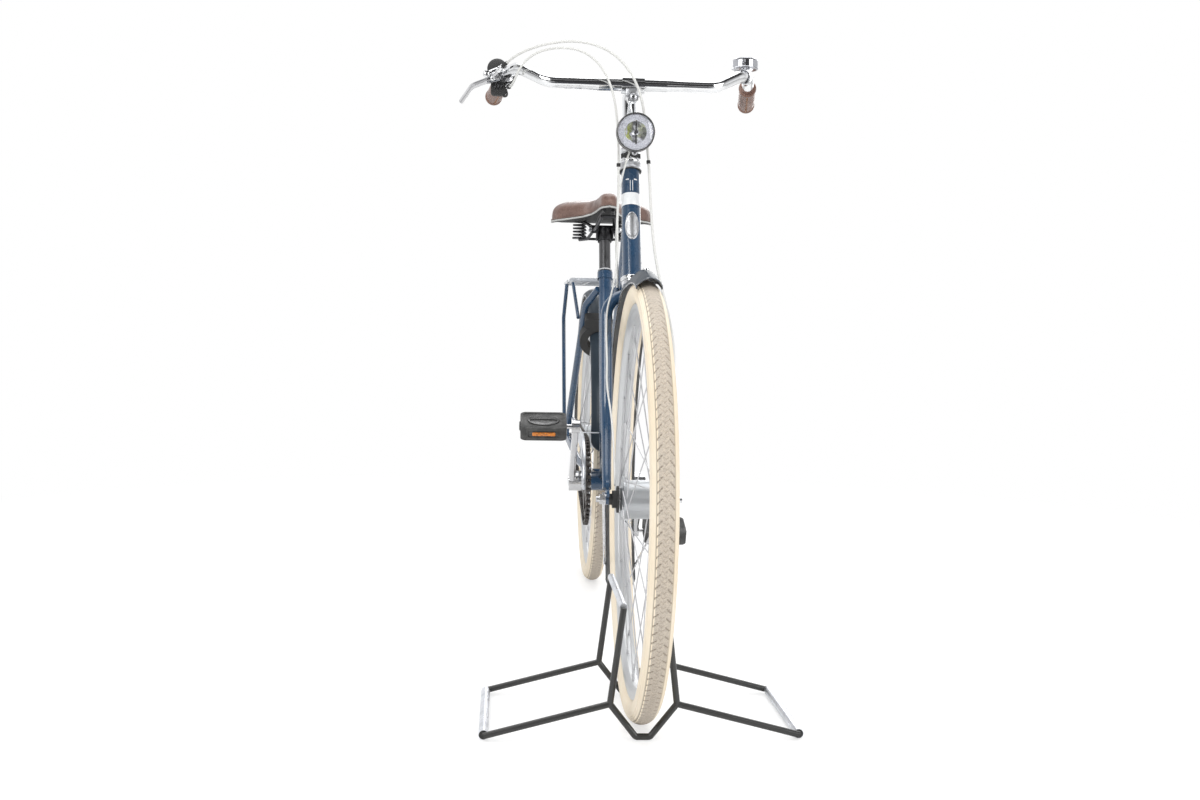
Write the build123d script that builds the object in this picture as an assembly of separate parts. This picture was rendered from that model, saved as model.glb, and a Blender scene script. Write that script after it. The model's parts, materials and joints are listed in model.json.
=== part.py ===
"""City bicycle with a low step-through frame, held at the front wheel by a floor display stand.

Working frame, millimetres: X points to the rider's left, Y points back from the front axle,
Z points up from the floor. The finished nodes are moved so that the origin lies on the floor at
the middle of the whole object's box.
"""
from build123d import *
import math
import os

# ---------------------------------------------------------------- wheels
TYRE_RADIUS = 350.0
TYRE_WIDTH = 42.0
TYRE_HEIGHT = 37.0
RIM_WIDTH = 25.0
RIM_BED_WIDTH = 10.0
RIM_DEPTH = 18.0
SPOKE_COUNT = 36
SPOKE_RADIUS = 1.0
SPOKE_LEAD = 60.0
SPOKE_HOLE_INSET = 2.5
NIPPLE_RADIUS = 1.9
NIPPLE_LENGTH = 11.0
AXLE_RADIUS = 4.75
AXLE_SLOT_PLAY = 0.2
RUNNING_GAP = 0.3
FLANGE_THICKNESS = 3.0
FRONT_HUB_WIDTH = 98.0
FRONT_BARREL_RADIUS = 31.0
FRONT_FLANGE_RADIUS = 37.0
FRONT_FLANGE_AT = 25.5
REAR_HUB_WIDTH = 120.0
REAR_BARREL_RADIUS = 28.0
REAR_FLANGE_RADIUS = 41.0
REAR_FLANGE_AT = 28.5
DROPOUT_THICKNESS = 5.0
NUT_ACROSS = 15.0
WASHER_THICKNESS = 1.2

# ---------------------------------------------------------------- steering
HEAD_ANGLE = 70.0
FORK_RAKE = 60.0
CROWN_CLEARANCE = 11.0
CROWN_SIDE_CLEARANCE = 7.5
CROWN_BEND = 40.0
CROWN_DROP = 11.0
CROWN_TO_RACE = 19.0
BLADE_DROP = 183.0
BLADE_SPREAD = 1.5
FORK_BLADE_RADIUS = 10.0
FORK_TIP_RADIUS = 7.0
HEADSET_STACK = 12.0
CUP_RADIUS = 19.0
HEAD_TUBE_LENGTH = 216.0
HEAD_TUBE_RADIUS = 16.5
STEERER_RADIUS = 12.7
QUILL_RADIUS = 11.1
STEM_WALL = 1.9
BAR_REACH = 66.0
BAR_HEIGHT = 1052.0
BAR_RADIUS = 11.1
BAR_SLEEVE_RADIUS = 12.7
GRIP_RADIUS = 16.5
GRIP_CAP = 5.0
BELL_RADIUS = 22.5
LAMP_RADIUS = 33.0
LAMP_AHEAD = 102.0
LAMP_ABOVE = 21.0
FRONT_EYELET_BACK = 12.0
FRONT_EYELET_UP = 11.0
BRAKE_ARM_LENGTH = 120.0

# ---------------------------------------------------------------- frame
CRANK_AXLE_Y = 650.0
CRANK_AXLE_Z = 297.0
SEAT_ANGLE = 70.0
SEAT_TUBE_LENGTH = 472.0
SEAT_TUBE_RADIUS = 14.3
SEAT_POST_RADIUS = 12.7
SEAT_POST_SUNK = 120.0
SADDLE_RISE = 104.0
SADDLE_THICKNESS = 42.0
DOWN_TUBE_RADIUS = 15.9
DOWN_TUBE_UP = 34.0
STEP_TUBE_RADIUS = 12.7
STEP_TUBE_UP = 140.0
STEP_TUBE_FOOT = 165.0
STEP_TUBE_SAG = 44.0
SHELL_RADIUS = 20.0
SHELL_WIDTH = 68.0
SHELL_BORE = 8.8
STAY_RADIUS = 8.0
CHAIN_STAY_RADIUS = 8.0
STAY_TOP_DROP = 40.0
STAY_SIDE_CLEARANCE = 5.0
BRIDGE_RADIUS = 5.0
EYELET_BACK = 14.0
EYELET_UP = 20.0
RACK_HALF_WIDTH = 66.0
RACK_RISE = 16.0
RACK_AHEAD = 156.5
RACK_BEHIND = 183.5
RACK_TUBE_RADIUS = 5.0
RACK_BAR_RADIUS = 4.0
RACK_LEG_RADIUS = 4.5
COIL_RADIUS = 14.0
COIL_WIRE_RADIUS = 2.2
COIL_PITCH = 7.4
LOCK_SIDE_CLEARANCE = 5.5
LOCK_CORNER_CLEARANCE = 1.1

# ---------------------------------------------------------------- drive
CHAIN_PITCH = 12.7
CHAIN_LINKS = 104
RING_TEETH = 44
SPROCKET_TEETH = 20
CHAIN_LINE = -44.0
ROLLER_RADIUS = 3.9
ROLLER_HALF_WIDTH = 1.95
PIN_RADIUS = 1.9
PIN_HALF_LENGTH = 5.1
PLATE_HEIGHT = 8.2
PLATE_THICKNESS = 1.2
INNER_PLATE_AT = 2.0
OUTER_PLATE_AT = 3.3
TOOTH_CLEARANCE = 0.4
TOOTH_THICKNESS = 2.4
SPIDER_ARMS = 5
SPIDER_THICKNESS = 4.0
RING_BAND = 24.0
CRANK_LENGTH = 170.0
CRANK_RISE = 46.8
CRANK_ARM_AT = 74.0
SPINDLE_RADIUS = 8.5
PEDAL_PIN_RADIUS = 4.5
PEDAL_LENGTH = 92.0
PEDAL_DEPTH = 78.0
PEDAL_HEIGHT = 27.0
PEDAL_AT = 139.0
PEDAL_TILT = 20.0
CASE_CLEARANCE = 10.0
CASE_SHEET = 1.5
CASE_FLANGE = 19.0
CASE_OUT = 11.5
CASE_CUT = 300.0
CASE_END_BEFORE_AXLE = 64.0
STRAP_AT = 355.0
STRAP_RISE = 25.3287

# ---------------------------------------------------------------- mudguards
GUARD_CLEARANCE = 12.0
GUARD_SIDE = 6.0
GUARD_CROWN = 12.0
GUARD_LIP = 5.0
GUARD_SHEET = 1.6
FRONT_GUARD_TURNS = (10.0, 126.0)
REAR_GUARD_TURNS = (90.0, 104.0)
STAY_WIRE_RADIUS = 2.0

# ---------------------------------------------------------------- stand
STAND_SHIFT = -9.0
STAND_DEPTH = 238.0
STAND_HALF_WIDTH = 249.0
STAND_WIRE_RADIUS = 5.0
STAND_TUBE_RADIUS = 7.5
STAND_TOP_TUBE_RADIUS = 6.0
STAND_TOP = 203.0
STAND_KNEE = 56.0
STAND_TYRE_ROOM = 12.0

# ---------------------------------------------------------------- cables
CABLE_RADIUS = 2.5
LAMP_LEAD_RADIUS = 1.6

BASE = (Align.CENTER, Align.CENTER, Align.MIN)
NODES = {}


def pitch_radius(teeth):
    """Radius of the circle that the chain's rollers lie on."""
    return CHAIN_PITCH / (2 * math.sin(math.pi / teeth))


def centre_distance(links, ring, sprocket):
    """Distance between the two toothed wheels that a chain of this many links just fits."""
    spread = (pitch_radius(ring) - pitch_radius(sprocket)) / CHAIN_PITCH
    span = (links - (ring + sprocket) / 2) / 2
    for _ in range(6):
        wrap = math.asin(spread / span)
        arc = (ring + sprocket) / 2 + (ring - sprocket) * wrap / math.pi
        span = math.hypot((links - arc) / 2, spread)
    return span * CHAIN_PITCH


# ---------------------------------------------------------------- places worked out from the sizes
RIM_SEAT_RADIUS = TYRE_RADIUS - TYRE_HEIGHT
SPOKE_BED_RADIUS = RIM_SEAT_RADIUS - RIM_DEPTH
GUARD_RADIUS = TYRE_RADIUS + GUARD_CLEARANCE
GUARD_WIDTH = TYRE_WIDTH + 2 * GUARD_SIDE
AXLE_Z = TYRE_RADIUS
RING_PITCH_RADIUS = pitch_radius(RING_TEETH)
SPROCKET_PITCH_RADIUS = pitch_radius(SPROCKET_TEETH)
DRIVE_SPAN = centre_distance(CHAIN_LINKS, RING_TEETH, SPROCKET_TEETH)
REAR_AXLE_Y = CRANK_AXLE_Y + math.sqrt(DRIVE_SPAN**2 - (AXLE_Z - CRANK_AXLE_Z) ** 2)
DRIVE_SLOPE = math.atan2(AXLE_Z - CRANK_AXLE_Z, REAR_AXLE_Y - CRANK_AXLE_Y)
CHAIN_LEAN = math.acos((RING_PITCH_RADIUS - SPROCKET_PITCH_RADIUS) / DRIVE_SPAN)
UPPER_RUN_SLOPE = DRIVE_SLOPE + CHAIN_LEAN - math.pi / 2
FRONT_AXLE = Vector(0, 0, AXLE_Z)
REAR_AXLE = Vector(0, REAR_AXLE_Y, AXLE_Z)
CRANK_AXLE = Vector(0, CRANK_AXLE_Y, CRANK_AXLE_Z)
CRANK_WAY = Vector(0, -math.cos(math.radians(CRANK_RISE)), math.sin(math.radians(CRANK_RISE)))
RIGHT_PEDAL = CRANK_AXLE + CRANK_WAY * CRANK_LENGTH
LEFT_PEDAL = CRANK_AXLE - CRANK_WAY * CRANK_LENGTH

HEAD_SLOPE = math.radians(HEAD_ANGLE)
STEER_DIR = Vector(0, math.cos(HEAD_SLOPE), math.sin(HEAD_SLOPE))
STEER_FOOT = FRONT_AXLE + Vector(0, math.sin(HEAD_SLOPE), -math.cos(HEAD_SLOPE)) * FORK_RAKE
FORK_CROWN_AT = GUARD_RADIUS + CROWN_CLEARANCE
BLADE_SPLIT_AT = FORK_CROWN_AT - BLADE_DROP
BLADE_TOP_HALF = GUARD_WIDTH / 2 + FORK_BLADE_RADIUS + CROWN_SIDE_CLEARANCE
BLADE_LOW_HALF = BLADE_TOP_HALF + BLADE_SPREAD
CROWN_RACE_AT = FORK_CROWN_AT + CROWN_TO_RACE
HEAD_BOTTOM_AT = CROWN_RACE_AT + HEADSET_STACK
HEAD_TOP_AT = HEAD_BOTTOM_AT + HEAD_TUBE_LENGTH
HEADSET_NUT_AT = HEAD_TOP_AT + 8.3
LAMP_RING_AT = HEAD_TOP_AT + 21.6
LAMP_RING_HEIGHT = 9.8
BAR_CENTRE_Y = (STEER_FOOT + STEER_DIR * ((BAR_HEIGHT - STEER_FOOT.Z) / STEER_DIR.Z)).Y - BAR_REACH
BAR_CENTRE = Vector(0, BAR_CENTRE_Y, BAR_HEIGHT)
BAR_SHOULDER = BAR_CENTRE + Vector(148, 0, 0)
BAR_BEND = BAR_CENTRE + Vector(200, 34, 29)
GRIP_START = BAR_CENTRE + Vector(221, 82, 29)
GRIP_END = BAR_CENTRE + Vector(247, 240, 11)
GRIP_RUN = (GRIP_END - GRIP_START).normalized()
BRAKE_ARM_WAY = Vector(0, 0.52, 0.854).normalized()
BRAKE_PIN = FRONT_AXLE + BRAKE_ARM_WAY * BRAKE_ARM_LENGTH

SEAT_SLOPE = math.radians(SEAT_ANGLE)
SEAT_DIR = Vector(0, math.cos(SEAT_SLOPE), math.sin(SEAT_SLOPE))
SEAT_TUBE_TOP = CRANK_AXLE + SEAT_DIR * SEAT_TUBE_LENGTH
SADDLE_CLAMP = CRANK_AXLE + SEAT_DIR * (SEAT_TUBE_LENGTH + SADDLE_RISE)
RACK_HEIGHT = AXLE_Z + GUARD_RADIUS + RACK_RISE


def on_steering(at, side=0.0, ahead=0.0):
    """Point at a distance up the steering axis, moved sideways and forwards square to it."""
    square = Vector(0, -math.sin(HEAD_SLOPE), math.cos(HEAD_SLOPE))
    return STEER_FOOT + STEER_DIR * at + square * ahead + Vector(side, 0, 0)


def on_seat_tube(at, side=0.0):
    """Point at a distance up the seat tube from the crank axle."""
    return CRANK_AXLE + SEAT_DIR * at + Vector(side, 0, 0)


LAMP_CENTRE = on_steering(LAMP_RING_AT + LAMP_RING_HEIGHT / 2) + Vector(0, -LAMP_AHEAD, LAMP_ABOVE)
SEAT_STAY_TOP = on_seat_tube(SEAT_TUBE_LENGTH - STAY_TOP_DROP, 15)
SEAT_STAY_KNEE = Vector(GUARD_WIDTH / 2 + STAY_RADIUS + STAY_SIDE_CLEARANCE,
                        SEAT_STAY_TOP.Y + 40, SEAT_STAY_TOP.Z - 35)
SEAT_STAY_FOOT = REAR_AXLE + Vector(REAR_HUB_WIDTH / 2 + DROPOUT_THICKNESS / 2, -12, 26)


def rod(start, end, radius):
    """Round bar from one point to another."""
    run = Vector(*end) - Vector(*start)
    return Plane(origin=Vector(*start), z_dir=run) * Cylinder(radius, run.length, align=BASE)


def tube(start, end, radius, bore):
    """Round tube from one point to another."""
    return rod(start, end, radius) - rod(start, end, bore)


def cross_rod(centre, half_length, radius):
    """Round bar across the bicycle, as long on one side of its centre as on the other."""
    return rod(centre - Vector(half_length, 0, 0), centre + Vector(half_length, 0, 0), radius)


def bent_rod(points, radius, bends):
    """Round bar along straight runs joined by tangent arcs."""
    path = FilletPolyline(*[tuple(Vector(*p)) for p in points], radius=bends)
    return sweep(Plane(origin=path @ 0, z_dir=path % 0) * Circle(radius), path=path)


def tapered_tube(path, radii):
    """Bar whose radius changes along a smooth path, lofted through round sections."""
    sections = []
    for index, radius in enumerate(radii):
        place = index / (len(radii) - 1)
        sections.append(Plane(origin=path @ place, z_dir=path % place) * Circle(radius))
    return loft(sections)


def both_sides(part):
    """The part and its mirror image in the centre plane."""
    return [part, mirror(part, Plane.YZ)]


def turned(points, centre):
    """Solid of revolution about a sideways axis; points are (sideways place, radius)."""
    outline = Polyline(*[(x, 0, r) for x, r in points], close=True)
    return Pos(*centre) * revolve(make_face(outline), Axis.X)


def hexagon_nut(centre, across, thickness):
    """Hexagon nut with its axis sideways."""
    prism = extrude(Plane.YZ * RegularPolygon(across / 2, 6, major_radius=False), thickness / 2, both=True)
    return Pos(*centre) * prism


def first_at_distance(start, end, centre, distance):
    """First point on a straight run that lies at a distance from an axle, seen from the side."""
    run = Vector(0, end.Y - start.Y, end.Z - start.Z)
    back = Vector(0, start.Y - centre.Y, start.Z - centre.Z)
    nearest = -back.dot(run.normalized())
    off_squared = back.length**2 - nearest**2
    travel = nearest - math.sqrt(distance**2 - off_squared)
    return start + (end - start) * (travel / run.length)


def add(name, *solids):
    """Keep solids as one named node."""
    flat = []
    for item in solids:
        flat.extend(item if isinstance(item, (list, tuple)) else [item])
    pieces = [solid for item in flat for solid in item.solids()]
    NODES[name] = pieces[0] if len(pieces) == 1 else Compound(children=pieces)


def union(*solids):
    """One shape fused from several."""
    return solids[0] + list(solids[1:])


# ================================================================ wheels
def tyre(centre):
    """Tyre: a round casing whose foot closes on the rim's seat."""
    section = Pos(0, 0, TYRE_RADIUS - TYRE_WIDTH / 2) * (Plane.XZ * Circle(TYRE_WIDTH / 2))
    keep = Pos(0, 0, RIM_SEAT_RADIUS + TYRE_WIDTH) * (Plane.XZ * Rectangle(3 * TYRE_WIDTH, 2 * TYRE_WIDTH))
    return Pos(*centre) * revolve(section & keep, Axis.X)


def rim(centre):
    """Box-section rim with a narrow spoke bed under the tyre's seat."""
    half, bed = RIM_WIDTH / 2, RIM_BED_WIDTH / 2
    left = [(bed, SPOKE_BED_RADIUS), (bed + 2.5, SPOKE_BED_RADIUS + 1.5), (half - 1, SPOKE_BED_RADIUS + 6),
            (half, RIM_SEAT_RADIUS - 8), (half, RIM_SEAT_RADIUS)]
    return turned(left + [(-x, r) for x, r in reversed(left)], centre)


def spokes(centre, flange_at, flange_radius):
    """Laced spokes with nipples: each flange's spokes alternate inside and outside and lean both ways."""
    made = []
    step = 360.0 / SPOKE_COUNT
    circle = flange_radius - SPOKE_HOLE_INSET
    bed = SPOKE_BED_RADIUS - 0.1
    seat = FLANGE_THICKNESS / 2 + SPOKE_RADIUS + 0.2
    for index in range(SPOKE_COUNT):
        side = 1 if index % 2 == 0 else -1
        outside = (index // 2) % 2 == 0
        near = side * (flange_at + (seat + 0.9 if outside else -seat))
        rim_turn = math.radians(index * step)
        hub_turn = math.radians(index * step + (-SPOKE_LEAD if outside else SPOKE_LEAD))
        start = Vector(near, math.cos(hub_turn) * circle, math.sin(hub_turn) * circle)
        end = Vector(side * 3.0, math.cos(rim_turn) * bed, math.sin(rim_turn) * bed)
        neck = end - (end - start).normalized() * NIPPLE_LENGTH
        made.append(rod(start, neck, SPOKE_RADIUS) + rod(neck, end, NIPPLE_RADIUS))
    return [Pos(*centre) * spoke for spoke in made]


def front_wheel():
    """Front wheel: tyre, rim, spokes and the wide hub shell."""
    add("front_tyre", tyre(FRONT_AXLE))
    add("front_rim", rim(FRONT_AXLE))
    add("front_spokes", spokes(FRONT_AXLE, FRONT_FLANGE_AT, FRONT_FLANGE_RADIUS))
    bore, high, low = AXLE_RADIUS + RUNNING_GAP, FRONT_FLANGE_RADIUS, FRONT_BARREL_RADIUS
    near, far = FRONT_FLANGE_AT - FLANGE_THICKNESS / 2, FRONT_FLANGE_AT + FLANGE_THICKNESS / 2
    add("front_hub", turned([(-far - 3, bore), (-far - 3, 18), (-far, 22), (-far, high), (-near, high),
                             (-near, low), (near, low), (near, high), (far, high), (far, low - 1),
                             (far + 2, low - 3), (far + 2, bore)], FRONT_AXLE))


def rear_wheel():
    """Rear wheel with a waisted geared-hub shell."""
    add("rear_tyre", tyre(REAR_AXLE))
    add("rear_rim", rim(REAR_AXLE))
    add("rear_spokes", spokes(REAR_AXLE, REAR_FLANGE_AT, REAR_FLANGE_RADIUS))
    bore, high, low = AXLE_RADIUS + RUNNING_GAP, REAR_FLANGE_RADIUS, REAR_BARREL_RADIUS
    near, far = REAR_FLANGE_AT - FLANGE_THICKNESS / 2, REAR_FLANGE_AT + FLANGE_THICKNESS / 2
    add("rear_hub", turned([(-far - 4, bore), (-far - 4, 20), (-far, 24), (-far, high), (-near, high),
                            (-near, low + 2), (-10, low), (10, low), (near, low + 2), (near, high),
                            (far, high), (far, low - 2), (far + 8, 22), (far + 8, bore)], REAR_AXLE))


# ================================================================ steering assembly
def fork():
    """Fork: steerer on a round-shouldered crown tube, and tapering raked blades with slotted dropouts."""
    corner = [on_steering(FORK_CROWN_AT, side) for side in (-BLADE_TOP_HALF, BLADE_TOP_HALF)]
    low = [on_steering(BLADE_SPLIT_AT, side) for side in (-BLADE_LOW_HALF, BLADE_LOW_HALF)]
    crown = bent_rod([low[0], corner[0], corner[1], low[1]], FORK_BLADE_RADIUS, CROWN_BEND)
    boss = rod(on_steering(FORK_CROWN_AT - CROWN_DROP), on_steering(CROWN_RACE_AT - 3), 15.5)
    steerer = rod(on_steering(FORK_CROWN_AT), on_steering(HEAD_TOP_AT + 17), STEERER_RADIUS)
    quill_hole = rod(on_steering(HEAD_TOP_AT - 70), on_steering(HEAD_TOP_AT + 20), QUILL_RADIUS)
    add("fork_crown", union(crown, boss, steerer) - quill_hole)
    blades = []
    for side in (-1, 1):
        start = on_steering(BLADE_SPLIT_AT - 0.1, side * BLADE_LOW_HALF)
        tip = FRONT_AXLE + Vector(side * (FRONT_HUB_WIDTH + DROPOUT_THICKNESS) / 2, 4, 16)
        curve = Bezier(start, start - STEER_DIR * 80, tip + Vector(0, 30, 45), tip)
        radii = [FORK_BLADE_RADIUS + (FORK_TIP_RADIUS - FORK_BLADE_RADIUS) * k / 5 for k in range(6)]
        blades.append(tapered_tube(curve, radii) + front_dropout(side))
    add("fork_blades", *blades)


def front_dropout(side):
    """Flat dropout with a downward axle slot and an eyelet for the mudguard stay."""
    plate = Pos(11, 0) * SlotCenterToCenter(22, 18)
    lug = Pos(FRONT_EYELET_UP, side * FRONT_EYELET_BACK) * Circle(6.5)
    slot = Pos(4, 0) * SlotOverall(24, 2 * AXLE_RADIUS + 2 * AXLE_SLOT_PLAY)
    inner_face = FRONT_AXLE + Vector(side * FRONT_HUB_WIDTH / 2, 0, 0)
    place = Plane(origin=inner_face, x_dir=(0, 0, 1), z_dir=(side, 0, 0))
    return place * extrude(plate + lug - slot, DROPOUT_THICKNESS)


def headset():
    """Pressed cups on the frame, and the race and nuts that turn with the fork."""
    bore = STEERER_RADIUS + RUNNING_GAP
    add("headset_cups",
        tube(on_steering(CROWN_RACE_AT + 4.3), on_steering(HEAD_BOTTOM_AT), CUP_RADIUS, bore),
        tube(on_steering(HEAD_TOP_AT), on_steering(HEADSET_NUT_AT - RUNNING_GAP), CUP_RADIUS, bore))
    race_ends = on_steering(CROWN_RACE_AT - 3), on_steering(CROWN_RACE_AT + 4)
    race = tube(*race_ends, CUP_RADIUS - 1, STEERER_RADIUS)
    nut = Plane(origin=on_steering(HEADSET_NUT_AT), z_dir=STEER_DIR) * extrude(
        RegularPolygon(17.5, 6, major_radius=False), 9)
    cap = rod(on_steering(HEADSET_NUT_AT + 9), on_steering(HEADSET_NUT_AT + 13), 15)
    steerer = rod(on_steering(HEADSET_NUT_AT), on_steering(HEADSET_NUT_AT + 13), STEERER_RADIUS)
    add("headset_nut", race, nut + cap - steerer)


def stem():
    """Quill stem: a column in the steerer, a short forward arm and a split clamp with its bolt."""
    top_at = (BAR_CENTRE - STEER_FOOT).dot(STEER_DIR) + 8
    neck_radius = QUILL_RADIUS + STEM_WALL
    quill = rod(on_steering(HEAD_TOP_AT - 65), on_steering(top_at), QUILL_RADIUS)
    dome = Pos(*on_steering(top_at)) * Sphere(neck_radius)
    neck = rod(on_steering(LAMP_RING_AT), on_steering(top_at), neck_radius)
    arm = rod(on_steering(top_at - 2), BAR_CENTRE, 11.5)
    clamp = cross_rod(BAR_CENTRE, 20, BAR_SLEEVE_RADIUS + 4.3)
    ear = Pos(*(BAR_CENTRE + Vector(0, -1, -22))) * fillet(Box(18, 24, 20).edges().filter_by(Axis.Y), 3)
    head = rod(BAR_CENTRE + Vector(0, -17, -25), BAR_CENTRE + Vector(0, -12, -25), 5)
    bore = cross_rod(BAR_CENTRE, 30, BAR_SLEEVE_RADIUS + 0.1)
    slit = Pos(*(BAR_CENTRE + Vector(0, -1, -24))) * Box(60, 1.6, 30)
    add("stem", union(quill, neck, dome, arm, clamp, ear, head) - bore - slit)


def mirrored(point):
    """A point's mirror image in the centre plane."""
    return Vector(-point.X, point.Y, point.Z)


def handlebar():
    """Swept-back bar with a thicker middle, and a closed grip on each end."""
    left = [BAR_SHOULDER, BAR_BEND, GRIP_START, GRIP_END]
    route = [mirrored(p) for p in reversed(left)] + left
    bar = bent_rod(route, BAR_RADIUS, [60.0, 45.0, 40.0, 40.0, 45.0, 60.0])
    sleeve = cross_rod(BAR_CENTRE, 60, BAR_SLEEVE_RADIUS)
    cones = [Pos(*(BAR_CENTRE + Vector(s * 75, 0, 0))) * Rot(0, s * 90, 0)
             * Cone(BAR_SLEEVE_RADIUS, BAR_RADIUS, 30) for s in (-1, 1)]
    add("handlebar", union(bar, sleeve, *cones))
    start = GRIP_START + GRIP_RUN * 50
    cap = rod(GRIP_END, GRIP_END + GRIP_RUN * GRIP_CAP, GRIP_RADIUS)
    grip = tube(start, GRIP_END, GRIP_RADIUS, BAR_RADIUS) + cap
    add("grip_left", grip)
    add("grip_right", mirror(grip, Plane.YZ))


def right_grip_point(at):
    """Point on the right grip's run, at a distance from the bar's last bend."""
    return mirrored(GRIP_START + GRIP_RUN * at)


LEVER_AT = right_grip_point(15)
LEVER_NOSE = LEVER_AT + Vector(-6, -44, 6)
SHIFTER_SPOUT_AT = right_grip_point(30)
SHIFTER_SPOUT = SHIFTER_SPOUT_AT + Vector(8, -40, -24)


def bar_controls():
    """Brake lever and twist shifter on the right, bell on the left."""
    band = tube(right_grip_point(9), right_grip_point(21), BAR_RADIUS + 3.9, BAR_RADIUS + 0.2)
    body = rod(LEVER_AT + Vector(-13, -2, -6), LEVER_AT + Vector(-36, -6, -12), 7)
    corners = [tuple(LEVER_AT + Vector(*p)) for p in ((-30, -8, -11), (-62, 14, -20), (-84, 96, -34))]
    path = FilletPolyline(*corners, radius=26)
    blade = sweep(Plane(origin=path @ 0, x_dir=(0, 0, 1), z_dir=path % 0) * Ellipse(5.6, 3.6), path=path)
    tip = Pos(*(path @ 1)) * Sphere(4.4)
    nose = rod(LEVER_AT + Vector(-28, -6, -9), LEVER_NOSE, 4)
    add("brake_lever", union(band, body, blade, tip, nose))
    barrel = tube(right_grip_point(24), right_grip_point(49.7), 19, BAR_RADIUS + 0.2)
    spout = rod(SHIFTER_SPOUT_AT + Vector(3, 0, -15.5), SHIFTER_SPOUT, 4)
    add("shifter", barrel + spout)
    bell_at = BAR_CENTRE + Vector(210, 57, 29)
    foot = rod(bell_at + Vector(0, 0, BAR_RADIUS + 0.4), bell_at + Vector(0, 0, 16), 8)
    dome = Pos(*(bell_at + Vector(0, 0, 16))) * Cylinder(BELL_RADIUS, 16, align=BASE)
    add("bell", foot + fillet(dome.edges().group_by(Axis.Z)[-1], 7))


def headlight():
    """Round headlight whose bowl narrows backwards, on a bracket from the stem's neck, and its domed lens."""
    glass = LAMP_RADIUS - 2.5
    bowl = [Line((0, 6), (glass, 6)), Line((glass, 6), (glass, 0)), Line((glass, 0), (LAMP_RADIUS, 0)),
            Line((LAMP_RADIUS, 0), (LAMP_RADIUS, 12)), ThreePointArc((LAMP_RADIUS, 12), (25.4, 35), (12, 50)),
            Line((12, 50), (0, 50)), Line((0, 50), (0, 6))]
    shell = Pos(*LAMP_CENTRE) * revolve(make_face(bowl), Axis.Y)
    ring_middle = LAMP_RING_AT + LAMP_RING_HEIGHT / 2
    arm = rod(LAMP_CENTRE + Vector(0, 44, -3), on_steering(ring_middle, 0, QUILL_RADIUS + STEM_WALL + 2), 4)
    ring = tube(on_steering(LAMP_RING_AT), on_steering(LAMP_RING_AT + LAMP_RING_HEIGHT), 17,
                QUILL_RADIUS + STEM_WALL + 0.1)
    add("headlight", union(shell, arm, ring))
    edge = glass - 0.1
    lens = [ThreePointArc((0, -3), (edge * 0.6, -1.9), (edge, 1)), Line((edge, 1), (edge, 5.9)),
            Line((edge, 5.9), (0, 5.9)), Line((0, 5.9), (0, -3))]
    add("headlight_lens", Pos(*LAMP_CENTRE) * revolve(make_face(lens), Axis.Y))


def guard_section():
    """Cross-section of a mudguard: a shallow crowned strip with straight lips."""
    half, edge = GUARD_WIDTH / 2, GUARD_RADIUS - GUARD_CROWN
    inside, low = half - GUARD_SHEET, edge - GUARD_LIP
    return make_face([
        ThreePointArc((-half, 0, edge), (0, 0, GUARD_RADIUS), (half, 0, edge)),
        Line((half, 0, edge), (half, 0, low)),
        Line((half, 0, low), (inside, 0, low)),
        Line((inside, 0, low), (inside, 0, edge)),
        ThreePointArc((inside, 0, edge), (0, 0, GUARD_RADIUS - GUARD_SHEET), (-inside, 0, edge)),
        Line((-inside, 0, edge), (-inside, 0, low)),
        Line((-inside, 0, low), (-half, 0, low)),
        Line((-half, 0, low), (-half, 0, edge))])


def mudguard(centre, turns):
    """Mudguard over a wheel, from a turn ahead of the top to a turn behind it, in degrees."""
    ahead, behind = turns
    start = Rot(ahead, 0, 0) * guard_section()
    return Pos(*centre) * revolve(start, Axis.X, revolution_arc=-(ahead + behind))


def guard_edge(centre, turn):
    """Point just outside a mudguard's left edge; turn is degrees behind the top."""
    angle = math.radians(turn)
    radius = GUARD_RADIUS - GUARD_CROWN - GUARD_LIP / 2
    return centre + Vector(GUARD_WIDTH / 2 + 2.2, math.sin(angle) * radius, math.cos(angle) * radius)


def guard_stays(centre, foot, turns, step):
    """Wire stays on both sides, from places one below another at the dropout to the mudguard's edge."""
    wires = []
    for index, turn in enumerate(turns):
        start = foot - Vector(0, 0, step * index)
        wires += both_sides(rod(start, guard_edge(centre, turn), STAY_WIRE_RADIUS))
    return wires


def mudguards():
    """Front and rear mudguards with their wire stays, and the bracket under the fork crown."""
    add("front_mudguard", mudguard(FRONT_AXLE, FRONT_GUARD_TURNS))
    add("rear_mudguard", mudguard(REAR_AXLE, REAR_GUARD_TURNS))
    out = DROPOUT_THICKNESS + STAY_WIRE_RADIUS
    foot = FRONT_AXLE + Vector(FRONT_HUB_WIDTH / 2 + out + 0.6, FRONT_EYELET_BACK + 1, FRONT_EYELET_UP + 2.8)
    under = on_steering(FORK_CROWN_AT - CROWN_DROP - 1.5)
    seat = FRONT_AXLE + (under - FRONT_AXLE).normalized() * (GUARD_RADIUS + RUNNING_GAP)
    add("front_mudguard_stays", guard_stays(FRONT_AXLE, foot, (92.0, 118.0), 5.6), rod(seat, under, 7))
    foot = REAR_AXLE + Vector(REAR_HUB_WIDTH / 2 + out + 0.9, 13, 3)
    add("rear_mudguard_stays", guard_stays(REAR_AXLE, foot, (58.0, 88.0), 7.0))


def fixed_axle(centre, reach, beyond, nut_thickness, washer_radius):
    """Axle across both dropouts with a washer and a hexagon nut outside each."""
    pieces = [cross_rod(centre, reach + beyond, AXLE_RADIUS)]
    for side in (-1, 1):
        way = Vector(side, 0, 0)
        face = centre + way * (reach + 0.1)
        pieces.append(rod(face, face + way * WASHER_THICKNESS, washer_radius))
        nut_at = centre + way * (reach + WASHER_THICKNESS + nut_thickness / 2)
        pieces.append(hexagon_nut(nut_at, NUT_ACROSS, nut_thickness))
    return union(*pieces)


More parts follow.
